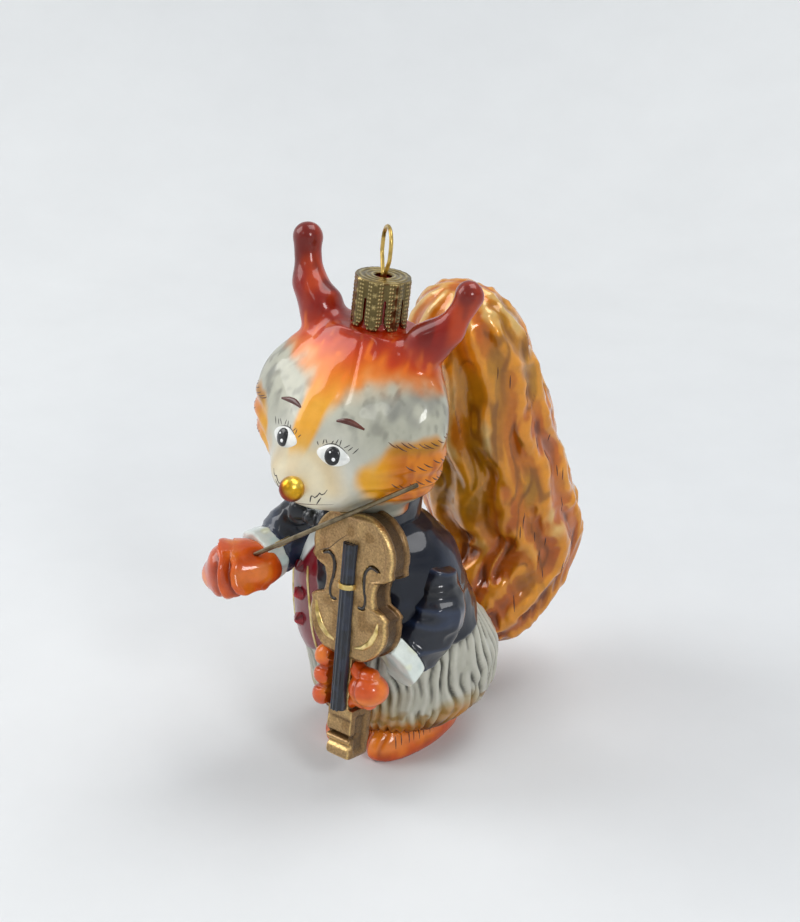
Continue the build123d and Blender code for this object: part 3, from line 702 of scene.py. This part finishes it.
# The violin's frame: across it, along it and out of its face
violinSet = {"origin": (9.2, -21.6, 34.0), "lean": 7.5, "length": 33.5, "half": 11.5, "voxel": 0.22}
lean = math.radians(violinSet["lean"])
violinAxes = np.array(
    [[1, 0, 0], [0, math.sin(lean), math.cos(lean)], [0, -math.cos(lean), math.sin(lean)]]
)
violinFoot = np.array(violinSet["origin"])

# Paws: orange enamel, with finger folds on the fist and toe folds on the feet
pawSet = {
    "voxel": 0.24,
    "rounds": 4,
    "fist": (-19.6, -29.0, 48.7),
    "fistLeft": (-0.766, -0.643, 0.0),
    "fistFront": (0.59, -0.71, 0.39),
    "fistGrow": 2.6,
    "foldDeep": 0.95,
    "gripMiddle": -6.55,
    "gripPitch": 3.9,
    "fingerOut": 2.4,
    "fingerForward": 1.6,
    "toeDeep": 0.3,
    "footSide": 6.4,
}
# Folds between the fingers of the fist: places to its left and up it, in mm
fistFolds = [
    [(5.6, 4.2), (5.9, 1.5), (5.8, -1.0), (5.2, -3.2), (4.2, -5.6)],
    [(2.7, 3.2), (3.1, 1.3), (2.7, -1.1), (1.5, -3.0), (-0.7, -4.2), (-3.5, -4.4)],
]


# Distance from flat places to a bent line, below zero on its left
def besideLine(places, line):
    best = np.full(len(places), 1e9)
    for start, end in zip(line[:-1], line[1:]):
        start, way = np.array(start), np.array(end) - np.array(start)
        share = np.clip((places - start) @ way / (way @ way), 0, 1)
        gap = places - start - share[:, None] * way
        length = np.hypot(gap[:, 0], gap[:, 1])
        turned = np.where(way[0] * gap[:, 1] - way[1] * gap[:, 0] > 0, length, -length)
        best = np.where(length < np.abs(best), turned, best)
    return best


for name, node in (
    ("rightHand", "right_hand"),
    ("leftHand", "left_hand"),
    ("leftFoot", "left_foot"),
    ("rightFoot", "right_foot"),
):
    mesh = skinMesh(name, [node], pawSet["voxel"], pawSet["rounds"])
    if "Foot" in name:
        sinkInto(mesh, bodyTree, 1.2, 1.2)
    if name == "rightHand":
        melt(mesh, np.ones(len(mesh.vertices)), 40)
    points, normals = readMesh(mesh)
    fold = np.zeros(len(points))
    lift = np.zeros(len(points))
    if name == "rightHand":
        away = points - np.array(pawSet["fist"])
        left = away @ np.array(pawSet["fistLeft"])
        front = away @ np.array(pawSet["fistFront"])
        nearCuff = ease(-1.0, -6.0, left) * ease(-3.0, 2.0, front)
        points -= nearCuff[:, None] * np.array(pawSet["fistLeft"]) * pawSet["fistGrow"]
        points += ease(2.0, 7.0, left)[:, None] * np.array(pawSet["fistLeft"]) * 0.5
        writePoints(mesh, points)
        melt(mesh, np.ones(len(points)), 30)
        points, normals = readMesh(mesh)
        away = points - np.array(pawSet["fist"])
        left = away @ np.array(pawSet["fistLeft"])
        fromAxis = away - left[:, None] * np.array(pawSet["fistLeft"])
        points += away * 0.05 + fromAxis * (0.32 * ease(1.5, 6.5, left))[:, None]
        away = points - np.array(pawSet["fist"])
        left = away @ np.array(pawSet["fistLeft"])
        front = away @ np.array(pawSet["fistFront"])
        places = np.stack([left, away[:, 2]], axis=1)
        shown = ease(-3.5, 0.5, front)
        for line in fistFolds:
            beside = besideLine(places, line)
            cut = np.where(beside < 0, bell(beside, 0.4), bell(beside, 1.2))
            fold += shown * cut
            lift += shown * (0.55 * bell(beside + 1.3, 1.0) - pawSet["foldDeep"] * cut)
    if name == "leftHand":
        local = (points - violinFoot) @ violinAxes.T
        finger = ease(-1.2, -3.0, local[:, 0])
        palm = ease(1.8, 4.0, local[:, 0])
        row = local[:, 1] - pawSet["gripMiddle"]
        gap = bell(np.abs(row / pawSet["gripPitch"]) - 0.5, 0.12)
        crease = bell(local[:, 0] - 5.4 + 0.2 * row, 0.5) * ease(1.5, 4.0, local[:, 2])
        fold += finger * gap * 0.8 + palm * crease * 0.6
        local[:, 0] -= finger * pawSet["fingerOut"]
        local[:, 1] += row * (finger * 0.17 - palm * 0.2)
        local[:, 2] += finger * pawSet["fingerForward"]
        points = local @ violinAxes + violinFoot
        lift -= 0.5 * fold
    if "Foot" in name:
        centre = pawSet["footSide"] if name == "leftFoot" else -pawSet["footSide"]
        for place in (-1.9, 1.9):
            near = bell(points[:, 0] - centre - place, 0.5)
            fold += near * (1 - ease(-13.5, -10.0, points[:, 1])) * ease(0.8, 2.5, points[:, 2])
        lift -= pawSet["toeDeep"] * fold
    cloud = noise(points, 4.0, 51)
    points = points + normals * (lift + 0.3 * (cloud - 0.5))[:, None]
    points[:, 2] = np.maximum(points[:, 2], 0.0)
    writePoints(mesh, points)
    paint = coated(points, "D2520A")
    paint = layer(paint, "E47A1C", ease(0.5, 0.8, cloud) * 0.8)
    paint = layer(paint, "AE3A06", ease(0.45, 0.2, cloud) * 0.7)
    if "Foot" in name:
        glow = ease(0.35, 0.7, noise(points, 5.0, 52)) * ease(1.0, 4.0, points[:, 2])
        paint = layer(paint, "EC8420", glow * 0.8)
        fold = fold * 0.5
    # Painted shade: darker red-brown in the folds between fingers and toes, half as strong on the feet
    paint = layer(paint, "7E2404", fold * 0.8)
    writePaint(mesh, paint)
    addPiece(name, mesh, enamel, "figurine", [node])
print("paws done")

# Violin: bronze glitter casting with dark sound holes
for name, node in (("violinBody", "violin_body"), ("violinNeck", "violin_neck")):
    mesh = skinMesh(name, [node], violinSet["voxel"], 3)
    if name == "violinNeck":
        points, _ = readMesh(mesh)
        along = (points - violinFoot) @ violinAxes[1]
        melt(mesh, ease(-12.4, -13.4, along), 14)
        melt(mesh, ease(-20.0, -22.5, along), 40)
    points, normals = readMesh(mesh)
    local = (points - violinFoot) @ violinAxes.T
    across, along, out = local.T
    facing = normals @ violinAxes[2]
    sideways = ease(0.45, 0.8, np.abs(normals[:, 0]))
    cloud = noise(points, 2.5, 61)
    if name == "violinBody":
        reach = np.abs(across)
        bout = ease(12.5, 13.5, along) * ease(20.3, 19.3, along)
        corner = bell(along - 11.6, 0.9) + bell(along - 21.3, 0.9)
        shift = np.sign(across) * ease(4.5, 7.5, reach) * (0.9 * corner - 1.5 * bout)
        points = points + shift[:, None] * violinAxes[0]
        rib = ease(0.8, 1.4, out) * ease(4.8, 4.2, out) * ease(0.6, 0.3, np.abs(facing))
        step = np.round((along + 1) / 0.5).astype(int)
        widest = np.zeros(step.max() + 1)
        np.maximum.at(widest, step, reach)
        fromEdge = np.minimum(widest[step] - reach, np.minimum(along + 0.5, violinSet["length"] + 0.4 - along))
        rim = bell(fromEdge - 1.3, 0.5) * ease(0.5, 0.9, facing)
        dome = np.clip(1 - (across / violinSet["half"]) ** 2, 0, 1) * np.clip(1 - ((along - 17) / 18) ** 2, 0, 1)
        arch = 0.6 * dome * ease(0.5, 0.9, facing) - 0.55 * rib + 0.3 * rim
        dark = rib
    else:
        onScroll = ease(-12.8, -13.4, along)
        notch = bell(along + 19.3, 0.55) * ease(2.0, 3.6, out)
        dish = sideways * ease(-14.0, -15.0, along) * ease(-23.8, -22.6, along)
        dish = dish * ease(4.4, 3.6, out) * ease(0.4, 1.2, out)
        arch = -onScroll * notch * (1.8 * ease(0.3, 0.8, facing) + 0.7 * sideways) - 0.6 * dish
        arch -= 0.5 * onScroll * ease(-17.5, -15.0, along) * ease(0.3, 0.8, facing) * ease(-14.4, -15.4, along)
        dark = onScroll * np.maximum(notch, 0.6 * dish)
    points = points + normals * (arch + 0.16 * (cloud - 0.5))[:, None]
    writePoints(mesh, points)
    paint = coated(points, "A8875A")
    paint = layer(paint, "86653A", ease(0.45, 0.2, cloud) * 0.7)
    paint = layer(paint, "BE9C68", ease(0.6, 0.85, cloud) * 0.7)
    # Painted shade on the faces turned away from the violin's front, and a painted highlight along the band where
    # the front curves over to the edge
    paint = layer(paint, "7A5A34", ease(0.6, 0.2, facing) * 0.7)
    paint = layer(paint, "E0BC7A", ease(0.5, 0.7, facing) * ease(0.97, 0.85, facing) * 0.8)
    paint = layer(paint, "4A341C", np.maximum(dark * 0.8, ease(0.03, 0.2, hollows(mesh, 14)) * 0.8))
    writePaint(mesh, paint)
    addPiece(name, mesh, bronzeGrit, "figurine", [node])
    if name == "violinBody":
        violinTree = treeOf(mesh)
print("violin done")


# The place on the violin's face at a distance across and along it in mm
def onViolin(across, along):
    start = violinFoot + violinAxes.T @ np.array([across, along, 30.0])
    spot, normal, _, _ = violinTree.ray_cast(Vector(start * mm), Vector(-violinAxes[2]))
    return spot, normal


# Fingerboard, bridge, bow, frog, nose and beads
smallSet = [
    ("fingerboardRod", "fingerboard", "0B0F1A", "1A2236", enamel, "fingerboard_lacquer", 0.16),
    ("violinBridge", "violin_bridge", "D9BE78", "B08A3A", brass, "gilt_paint", 0.10),
    ("bowFrog", "bow_frog", "C9AE68", "8F7034", brass, "gilt_paint", 0.12),
    ("noseBead", "nose_bead", "D6A01E", "E9CB5A", brass, "nose_gold", 0.16),
    ("bowStick", "bow_stick", "7D7058", "5A4F3C", brass, "bow_wire", 0.12),
]
for name, node, first, second, material, slot, voxel in smallSet:
    mesh = skinMesh(name, [node], voxel, 2)
    points, normals = readMesh(mesh)
    cloud = noise(points, 1.6, 71)
    paint = coated(points, first)
    paint = layer(paint, second, ease(0.5, 0.8, cloud) * 0.8)
    if name == "fingerboardRod":
        local = (points - violinFoot) @ violinAxes.T
        line = np.cos(local[:, 0] * math.tau / 0.85)
        points = points + normals * (0.1 * line)[:, None]
        writePoints(mesh, points)
        paint = layer(paint, "39424E", ease(0.6, 1.0, line) * 0.55)
    if name == "noseBead":
        under = ease(0.55, -0.2, normals @ np.array([0.75, 0.1, 0.65]))
        paint = layer(paint, "8A2A0C", under)
    writePaint(mesh, paint)
    addPiece(name, mesh, material, "figurine", [node])

beadSet = {"bevel": 0.16}
bm = cadCopy("waistcoat_beads")
bmesh.ops.dissolve_limit(bm, angle_limit=0.02, verts=bm.verts, edges=bm.edges)
sharp = [edge for edge in bm.edges if edge.is_manifold and edge.calc_face_angle() > 0.2]
bmesh.ops.bevel(
    bm, geom=sharp, offset=beadSet["bevel"] * mm, segments=2, profile=0.5, affect="EDGES", material=-1
)
mesh = meshFrom(bm, "waistcoatBeads")
points, _ = readMesh(mesh)
writePaint(
    mesh, layer(coated(points, "A80A20"), "5E0614", ease(0.4, 0.7, noise(points, 1.2, 75)))
)
addPiece("waistcoatBeads", mesh, enamel, "figurine", ["waistcoat_beads"])
print("small pieces done")

# Cap: antique brass cup with fluted petals, rows of dots and a ringed top
capSet = {"voxel": 0.13, "petals": 8, "rowPitch": 0.85, "dot": 0.24, "proud": 0.17, "height": 10.8, "radius": 6.0}
capSet["seat"] = 42.3
capTop = headFoot + headAxes @ np.array([0, 0, capSet["seat"] + capSet["height"]])
mesh = skinMesh("brassCap", ["cap"], capSet["voxel"], 2)
points, normals = readMesh(mesh)
local = (points - capTop) @ headAxes
angle = np.arctan2(local[:, 1], local[:, 0])
radial = np.hypot(local[:, 0], local[:, 1])
share = (angle / math.tau * capSet["petals"]) % 1.0
offset = (share - 0.5) * math.tau * capSet["radius"] / capSet["petals"]
outer = ease(5.75, 5.9, radial) * (1 - ease(-0.5, -0.2, local[:, 2]))
row = (local[:, 2] / capSet["rowPitch"]) % 1.0 - 0.5
dots = np.zeros(len(points))
for column in (-1.5, -0.95, 0.95, 1.5):
    away = np.hypot(offset - column, row * capSet["rowPitch"])
    dots = np.maximum(dots, np.exp(-((away / capSet["dot"]) ** 2) * 1.4))
starUp = (local[:, 2] + 1.7) % 2.6 - 1.3
starAway = np.hypot(offset, starUp)
rays = 0.5 + 0.5 * np.cos(np.arctan2(starUp, offset) * 6)
star = bell(starAway, 0.55) * (0.4 + 0.6 * rays)
dots = np.maximum(dots, star)
flute = 0.32 * np.cos((share - 0.5) * math.tau) * outer
onTop = ease(-0.25, -0.08, local[:, 2])
rings = np.cos(radial * math.tau / 1.25) * onTop
lift = outer * dots * capSet["proud"] + flute * 0.6 + 0.08 * rings
points = points + normals * lift[:, None]
writePoints(mesh, points)
cloud = noise(points, 1.5, 81)
paint = coated(points, "9C8858")
paint = layer(paint, "4C4024", (outer + onTop) * ease(0.5, 0.1, dots) * 0.75 * (1 - onTop * 0.6))
paint = layer(paint, "D8C284", np.maximum(outer * ease(0.5, 0.9, dots), onTop * ease(0.2, 0.9, rings)) * 0.8)
paint = layer(paint, "5C4E2C", ease(0.55, 0.8, cloud) * 0.5)
writePaint(mesh, paint)
addPiece("brassCap", mesh, brass, "cap", ["cap"])

wireSet = {"voxel": 0.13}
mesh = skinMesh("hangerWire", ["hanger_wire"], wireSet["voxel"], 3)
points, _ = readMesh(mesh)
cloud = noise(points, 1.8, 85)
writePaint(mesh, layer(coated(points, "C8A95C"), "8F7434", ease(0.5, 0.8, cloud)))
addPiece("hangerWire", mesh, brass, "hanger", ["hanger_wire"])
print("cap and wire done")


# A lens of paint on the head: half sizes in mm, set on the skin at a turn and a height
def lens(name, parts, colours):
    bm = bmesh.new()
    for part in parts:
        spot, normal = onHead(part["turn"], part["height"])
        up = Vector(headAxes[:, 2])
        across = up.cross(normal).normalized()
        up = normal.cross(across).normalized()
        made = bmesh.ops.create_uvsphere(bm, u_segments=40, v_segments=20, radius=1.0)
        for vert in made["verts"]:
            x, y, z = vert.co
            y *= 1 - part.get("pinch", 0.0) * x * x
            place = across * (x * part["half"][0] + part.get("shift", (0, 0))[0])
            place += up * (y * part["half"][1] + part.get("shift", (0, 0))[1])
            place += normal * (z * part["half"][2] - part["sunk"])
            vert.co = spot + place * mm
    mesh = meshFrom(bm, name)
    mesh.shade_smooth()
    points, _ = readMesh(mesh)
    tint = noise(points, 1.3, 91)
    paint = layer(coated(points, colours[0]), colours[1], ease(0.4, 0.8, tint))
    writePaint(mesh, paint)
    return addPiece(name, mesh, enamel, "figurine")


# Eyes: white almond, dark iris and two glints
eyeSet = {"turn": 22.8, "height": 18.6}
sides = (1, -1)
lens(
    "eyeWhites",
    [
        {"turn": s * eyeSet["turn"], "height": eyeSet["height"], "half": (4.1, 2.5, 1.3), "sunk": 0.62, "pinch": 0.3}
        for s in sides
    ],
    ("F2F1EC", "DEE0DC"),
)
lens(
    "irises",
    [{"turn": s * 23.2, "height": 18.5, "half": (1.85, 2.05, 0.75), "sunk": -0.3} for s in sides],
    ("0B0B0D", "15161A"),
)
lens(
    "glints",
    [
        {"turn": s * 23.2, "height": 18.5, "half": (size, size, 0.3), "sunk": -0.88, "shift": shift}
        for s in sides
        for size, shift in ((0.42, (0.55, -0.6)), (0.24, (-0.5, 0.75)))
    ],
    ("FFFFFF", "F2F4F6"),
)

# Brows, lashes, mouth and cheek marks
browPaths = [
    [onHead(s * (20 + 24 * k / 8), 24.9 + 0.9 * math.sin(math.pi * (0.15 + 0.75 * k / 8))) for k in range(9)]
    for s in sides
]
strokePiece(
    "brows",
    browPaths,
    {"radius": 1.0, "sunk": 0.72, "colour": "4E2014", "second": "602A1A", "material": enamel},
)
fineMark = {"radius": 0.16, "sunk": 0.3, "colour": "2A2422", "second": "3A3230", "material": enamel}
lashPaths = []
for s in sides:
    for k in range(9):
        share = k / 8
        at = 10 + 27 * share
        base = 19.8 + 1.1 * math.sin(math.pi * share)
        slant = (share - 0.3) * 6.5 + 1.6 * math.sin(k * 2.3)
        reach = 0.75 + 0.5 * share + 0.25 * math.sin(k * 1.7)
        lashPaths.append([onHead(s * (at + slant * t), base + reach * t) for t in (0, 0.25, 0.5, 0.75, 1)])
    lid = []
    for k in range(15):
        x = -0.96 + 1.92 * k / 14
        arch = 2.3 * math.sqrt(1 - x * x) * (1 - 0.3 * x * x)
        lid.append(onHead(s * eyeSet["turn"] + 12.2 * x, eyeSet["height"] + arch))
    lashPaths.append(lid)
strokePiece("lashes", lashPaths, dict(fineMark, radius=0.12))
mouthPaths = []
for s in sides:
    mouthPaths.append([onHead(s * (12 + 1.6 * k), 8.6 + 0.35 * k + 0.4 * math.sin(k * 2.0)) for k in range(8)])
    mouthPaths.append([onHead(s * (11.5 + 0.3 * k), 7.4 + 0.5 * k) for k in range(5)])
    mouthPaths.append([onHead(s * (16 + 0.9 * k), 7.2 + 0.55 * k) for k in range(5)])
strokePiece("mouthMarks", mouthPaths, dict(fineMark, radius=0.17))
mouthLine = [[onHead(-28 + 56 * k / 24, 5.9 + 2.2 * abs(-28 + 56 * k / 24) / 28) for k in range(25)]]
strokePiece("mouthLine", mouthLine, dict(fineMark, radius=0.15, colour="7A6A5C", second="8C7A68"))
rng = np.random.default_rng(7)
cheekPaths = []
for s in sides:
    for rowAt, first, last, count in ((23.4, 58, 90, 10), (19.3, 68, 95, 7), (14.6, 62, 92, 8)):
        for k in range(count):
            at = first + (last - first) * k / (count - 1) + rng.uniform(-1, 1)
            up = rowAt + 0.05 * (at - first) + rng.uniform(-0.4, 0.4)
            cheekPaths.append([onHead(s * (at + 4.8 * t), up - 1.6 * t + 0.6 * t * t) for t in (0, 0.3, 0.6, 1)])
strokePiece(
    "cheekMarks", cheekPaths, dict(fineMark, radius=0.17, colour="4E280C", second="6A3A10")
)
print("face done")

# Gold braid down the waistcoat, and gold crescents on the violin
braidMark = {
    "radius": 0.42,
    "sunk": 0.25,
    "even": True,
    "colour": "D8C690",
    "second": "B99C55",
    "material": brass,
}
braidPaths = []
for edge in (-1, 1):
    path = []
    for k in range(22):
        levelAt = 27.5 + 22 * k / 21
        half = bodySet["openHalf"] - 0.45 * (levelAt - 36)
        path.append(onBody(bodySet["opening"] + edge * (half - 11), levelAt))
    braidPaths.append(path)
strokePiece("waistcoatBraid", braidPaths, braidMark)
crescents = []
for s in sides:
    places = [onViolin(s * x, y)[0] for x, y in ((9.0, 10.6), (8.6, 8.0), (7.3, 5.4), (5.2, 3.6), (3.0, 2.9))]
    crescents.append(drape(violinTree, places, 14))
crescentMark = dict(braidMark, radius=0.85, sunk=0.4, even=False, colour="F0D592")
strokePiece("goldCrescents", crescents, crescentMark)


# Rounds the corners of a row of flat places
def rounded(places, rounds):
    for _ in range(rounds):
        cut = [places[0]]
        for (x0, y0), (x1, y1) in zip(places[:-1], places[1:]):
            cut.append((x0 * 0.75 + x1 * 0.25, y0 * 0.75 + y1 * 0.25))
            cut.append((x0 * 0.25 + x1 * 0.75, y0 * 0.25 + y1 * 0.75))
        places = cut + [places[-1]]
    return places


# Sound holes, across and along the violin's face in mm
soundHole = [(8.05, 22.1), (5.87, 22.95), (4.31, 21.1), (4.49, 17.4), (5.29, 14.7), (4.72, 12.7), (3.1, 12.7)]
holePaths = []
for s in sides:
    path = []
    for x, y in rounded(soundHole, 3):
        domeUp = 0.6 * (1 - (x / violinSet["half"]) ** 2) * (1 - ((y - 17) / 18) ** 2)
        spot = violinFoot + violinAxes.T @ np.array([s * x, y, 6.0 + domeUp])
        path.append((Vector(spot * mm), Vector(violinAxes[2])))
    holePaths.append(path)
strokePiece(
    "soundHoles",
    holePaths,
    {"radius": 0.55, "sunk": 0.72, "colour": "1E140A", "second": "35240F", "material": enamel},
)
crackLine = [(-9.2, 22.4), (-8.0, 23.0), (-6.2, 23.8), (-3.6, 26.5), (-1.5, 28.2)]
crackPlaces = [onViolin(x, y)[0] for x, y in crackLine]
strokePiece(
    "violinCrack",
    [drape(violinTree, crackPlaces, 16)],
    dict(fineMark, radius=0.14, sunk=0.5, colour="4A3218", second="5E4424"),
)

# Brown brush marks on the tail and the feet
tailPaths = []
tailPoints, tailNormals = readMesh(tailMesh)
pick = rng.permutation(len(tailPoints))
for index in pick:
    spot = tailPoints[index]
    if len(tailPaths) == 70:
        break
    if not (24 < spot[2] < 96 and spot[1] > 20):
        continue
    length = rng.uniform(2.2, 4.6)
    places = [Vector((spot + np.array([0, 0, length * (t - 0.5)])) * mm) for t in (0, 0.5, 1)]
    tailPaths.append(drape(tailTree, places, 5))
strokePiece(
    "tailMarks", tailPaths, dict(fineMark, radius=0.17, colour="4A2408", second="6A3A10")
)
footPaths = []
for name, centre in (("leftFoot", pawSet["footSide"]), ("rightFoot", -pawSet["footSide"])):
    footTree = treeOf(bpy.data.objects[name].data)
    for edge in sides:
        for k in range(11):
            backAt = -10.5 + 1.75 * k + rng.uniform(-0.3, 0.3)
            reach = 5.4 - 0.012 * (backAt + 1) ** 2
            top = Vector((centre + edge * (reach - 0.6), backAt, 6.6)) * mm
            lowAt = Vector((centre + edge * (reach + 0.4), backAt - 1.0, 3.9 + rng.uniform(-0.3, 0.5))) * mm
            footPaths.append(drape(footTree, [top, lowAt], 5))
strokePiece("footMarks", footPaths, dict(fineMark, radius=0.15, colour="4A2008", second="5E2C0C"))
print("marks done")

# Floor and backdrop: one pale cloth that rises all round
stageSet = {"half": 0.9, "rise": 0.34, "bend": 0.5, "turn": 40.0}
bm = bmesh.new()
bmesh.ops.create_grid(bm, x_segments=60, y_segments=60, size=stageSet["half"])
for vert in bm.verts:
    past = min(max(0.0, vert.co.xy.length - stageSet["rise"]), stageSet["half"] - stageSet["rise"])
    vert.co.z = 0.9 * past * past / stageSet["bend"] - 0.00002
bmesh.ops.rotate(bm, verts=bm.verts, matrix=Matrix.Rotation(math.radians(stageSet["turn"]), 3, "Z"))
floorMesh = meshFrom(bm, "paleCloth")
floorMesh.shade_smooth()
floor = bpy.data.objects.new("paleCloth", floorMesh)
scene.collection.objects.link(floor)
points, _ = readMesh(floorMesh)
drift = noise(points, 260.0, 95)
writePaint(floorMesh, layer(coated(points, "E2E4E5"), "CFD2D5", ease(0.3, 0.8, drift) * 0.6))
# Pale cotton: matt, with a soft weave
paleCotton = paintMaterial(
    "paleCotton",
    dict(
        cloud=40.0, depth=0.02, grain=1.2, bump=0.02, metallic=0.0,
        roughness=0.9, specular=0.2, coat=0.0, coatRoughness=0.5,
    ),
)
floorMesh.materials.append(paleCotton)

# Light: an even pale room, a large soft lamp from the upper left and a smaller one from the right
world = bpy.data.worlds.new("room")
world.use_nodes = True
tree = world.node_tree
tree.nodes.clear()
roomSet = {"colour": "E4E7EA", "lights": 0.38, "shows": 0.70}
pale = (*linear(roomSet["colour"]), 1)
room, shown = [
    addNode(tree, "ShaderNodeBackground", values={"Color": pale, "Strength": roomSet[use]}).outputs["Background"]
    for use in ("lights", "shows")
]
rays = addNode(tree, "ShaderNodeLightPath").outputs
larger = {"operation": "MAXIMUM"}
mirror = addNode(tree, "ShaderNodeMath", larger, links={0: rays["Is Glossy Ray"], 1: rays["Is Transmission Ray"]})
direct = addNode(tree, "ShaderNodeMath", larger, links={0: rays["Is Camera Ray"], 1: mirror.outputs["Value"]})
either = addNode(tree, "ShaderNodeMixShader", links={"Fac": direct.outputs["Value"], 1: room, 2: shown})
addNode(tree, "ShaderNodeOutputWorld", links={"Surface": either.outputs["Shader"]})
scene.world = world
target = Vector((0, 0, 0.06))
lampSet = [
    ("softKey", (-0.55, -0.30, 0.58), 0.5, 2.95),
    ("windowSide", (0.55, -0.22, 0.48), 0.16, 1.2),
    ("windowFront", (-0.05, -0.62, 0.62), 0.15, 0.2),
    ("topGlow", (0.1, 0.25, 0.7), 0.45, 2.55),
]
for name, place, size, power in lampSet:
    lamp = bpy.data.lights.new(name, "AREA")
    lamp.shape = "SQUARE"
    lamp.size = size
    lamp.energy = power
    holder = bpy.data.objects.new(name, lamp)
    holder.location = place
    holder.rotation_euler = (target - Vector(place)).to_track_quat("-Z", "Y").to_euler()
    scene.collection.objects.link(holder)

# Camera, fitted to the photograph
cameraSet = {"turn": 40.0, "rise": 23.0, "away": 430.0, "target": (-0.6, 3.6, 69.0), "lens": 84.15}
turnBy, riseBy = math.radians(cameraSet["turn"]), math.radians(cameraSet["rise"])
back = Vector((math.sin(turnBy) * math.cos(riseBy), -math.cos(turnBy) * math.cos(riseBy), math.sin(riseBy)))
camera = bpy.data.cameras.new("camera")
camera.sensor_fit = "HORIZONTAL"
camera.sensor_width = 36.0
camera.lens = cameraSet["lens"]
camera.clip_start = 0.01
camera.dof.use_dof = False
cameraPiece = bpy.data.objects.new("camera", camera)
cameraPiece.location = (Vector(cameraSet["target"]) + back * cameraSet["away"]) * mm
cameraPiece.rotation_euler = (-back).to_track_quat("-Z", "Y").to_euler()
scene.collection.objects.link(cameraPiece)
scene.camera = cameraPiece
scene.view_settings.view_transform = "Standard"

print("stage done")
